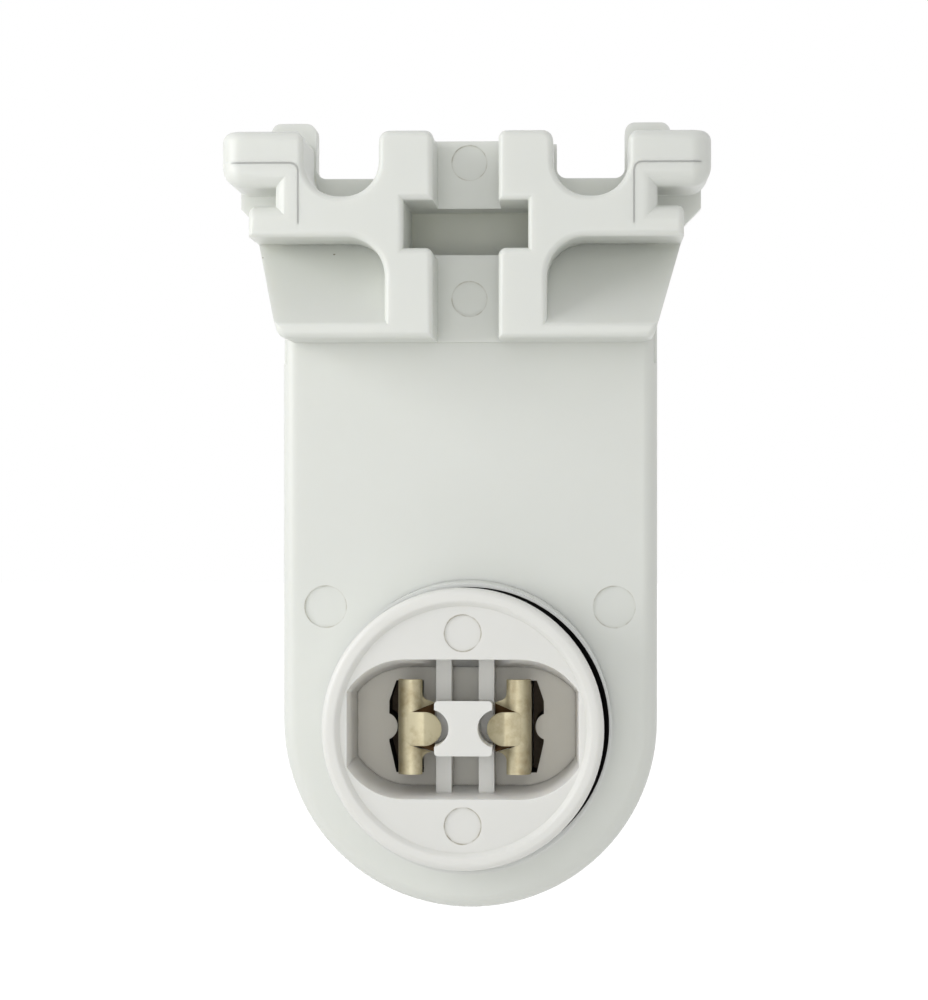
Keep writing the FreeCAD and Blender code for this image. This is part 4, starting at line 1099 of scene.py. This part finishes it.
@dataclass(frozen=True)
class SoftBox:
    """One rectangular soft box lamp, aimed at the holder."""

    name: str
    place_mm: tuple[float, float, float]
    face_mm: tuple[float, float]
    watts: float
    mirrored: bool = True
    aim_mm: tuple[float, float, float] = (0.0, -20.0, 15.0)

    def hang(self) -> None:
        """Add the lamp to the scene."""
        light = bpy.data.lights.new(self.name, "AREA")
        light.shape = "RECTANGLE"
        light.size, light.size_y = (side * MM for side in self.face_mm)
        light.energy = self.watts
        lamp = bpy.data.objects.new(self.name, light)
        lamp.location = Vector(self.place_mm) * MM
        aim = Vector(self.aim_mm) - Vector(self.place_mm)
        lamp.rotation_euler = aim.to_track_quat("-Z", "Y").to_euler()
        lamp.visible_glossy = self.mirrored
        bpy.context.scene.collection.objects.link(lamp)


@dataclass(frozen=True)
class Studio:
    """White surroundings, soft lamps and the camera of the photograph."""

    camera_mm: tuple[float, float, float] = (8.7, -258.5, 18.9)
    yaw_degrees: float = 2.178
    pitch_degrees: float = -0.338
    focal_mm: float = 109.8
    film_mm: float = 36.0
    clip_m: tuple[float, float] = (0.01, 20.0)
    floor_drop_mm: float = 75.0
    floor_half_m: float = 3.0
    world_strength: float = 0.6
    paper_colour: str = "#f4f4f2"
    paper_glow: float = 1.2
    glow_share: float = 0.9
    lamps: tuple[SoftBox, ...] = (
        SoftBox("key_lamp", (-15, -400, 0), (120, 240), 0.22),
        SoftBox("rear_lamp", (10, 420, 25), (160, 160), 0.7, mirrored=False),
        SoftBox("side_lamp", (-135, -90, 55), (90, 90), 0.1),
    )

    def build(self) -> None:
        """Make the world, floor, lamps and camera."""
        self.light_world()
        self.lay_floor()
        for lamp in self.lamps:
            lamp.hang()
        self.place_camera()

    def show_white(self, tree: bpy.types.NodeTree) -> bpy.types.NodeSocket:
        """Add the test for rays that see the background: straight, mirrored or through glass.

        Args:
            tree: The node tree that gets the test.

        Returns:
            A socket that is 1 on those rays.
        """
        path = add_node(tree, "LightPath")
        first = add_node(tree, "Math", {"operation": "MAXIMUM"}, {
            0: path.outputs["Is Camera Ray"], 1: path.outputs["Is Glossy Ray"],
        })
        both = add_node(tree, "Math", {"operation": "MAXIMUM"}, {
            0: first.outputs[0], 1: path.outputs["Is Transmission Ray"],
        })
        return both.outputs[0]

    def light_world(self) -> None:
        """Light the object evenly from all round, and show white behind it."""
        world = bpy.data.worlds.new("studio_world")
        bpy.context.scene.world = world
        world.use_nodes = True
        tree = world.node_tree
        tree.nodes.clear()
        glow = add_node(tree, "Background", {"Color": linear(WHITE), "Strength": self.world_strength})
        seen = add_node(tree, "Background", {"Color": linear(WHITE), "Strength": 1.0})
        mixed = add_node(tree, "MixShader", {}, {
            0: self.show_white(tree), 1: glow.outputs[0], 2: seen.outputs[0],
        })
        add_node(tree, "OutputWorld", {}, {"Surface": mixed.outputs[0]})

    def lay_floor(self) -> None:
        """Lay a plain pale floor well below the hanging holder."""
        mesh = bpy.data.meshes.new("floor")
        shape = bmesh.new()
        bmesh.ops.create_grid(shape, x_segments=1, y_segments=1, size=self.floor_half_m)
        bmesh.ops.translate(shape, verts=shape.verts,
                            vec=(0, 0, CAD_BOUNDS[0][2] - self.floor_drop_mm * MM))
        shape.to_mesh(mesh)
        shape.free()
        floor = bpy.data.objects.new("floor", mesh)
        bpy.context.scene.collection.objects.link(floor)
        paper, tree = start_material("white_paper")
        matte = add_node(tree, "BsdfDiffuse", {"Color": linear(self.paper_colour)})
        glow = add_node(tree, "Emission", {"Color": linear(WHITE), "Strength": self.paper_glow})
        share = add_node(tree, "Math", {"operation": "MULTIPLY", 1: self.glow_share},
                         {0: self.show_white(tree)})
        mixed = add_node(tree, "MixShader", {}, {
            0: share.outputs[0], 1: matte.outputs[0], 2: glow.outputs[0],
        })
        add_node(tree, "OutputMaterial", {}, {"Surface": mixed.outputs[0]})
        mesh.materials.append(paper)

    def place_camera(self) -> None:
        """Set the camera where the photograph was taken from."""
        data = bpy.data.cameras.new("camera")
        data.sensor_fit = "VERTICAL"
        data.sensor_height = self.film_mm
        data.sensor_width = self.film_mm
        data.lens = self.focal_mm
        data.clip_start, data.clip_end = self.clip_m
        camera = bpy.data.objects.new("camera", data)
        camera.location = Vector(self.camera_mm) * MM
        ahead = Vector((
            -math.tan(math.radians(self.yaw_degrees)), 1.0,
            math.tan(math.radians(self.pitch_degrees)),
        ))
        camera.rotation_euler = ahead.to_track_quat("-Z", "Y").to_euler()
        bpy.context.scene.collection.objects.link(camera)
        bpy.context.scene.camera = camera


def main() -> None:
    """Dress the holder and set up the studio."""
    logging.basicConfig(level=logging.INFO, format="%(message)s")
    bpy.context.scene.view_settings.view_transform = "Standard"
    for piece in (Shell(), Turret(), Metalwork(), Studio()):
        piece.build()
        LOG.info("%s: done", type(piece).__name__)


if __name__ == "__main__":
    main()
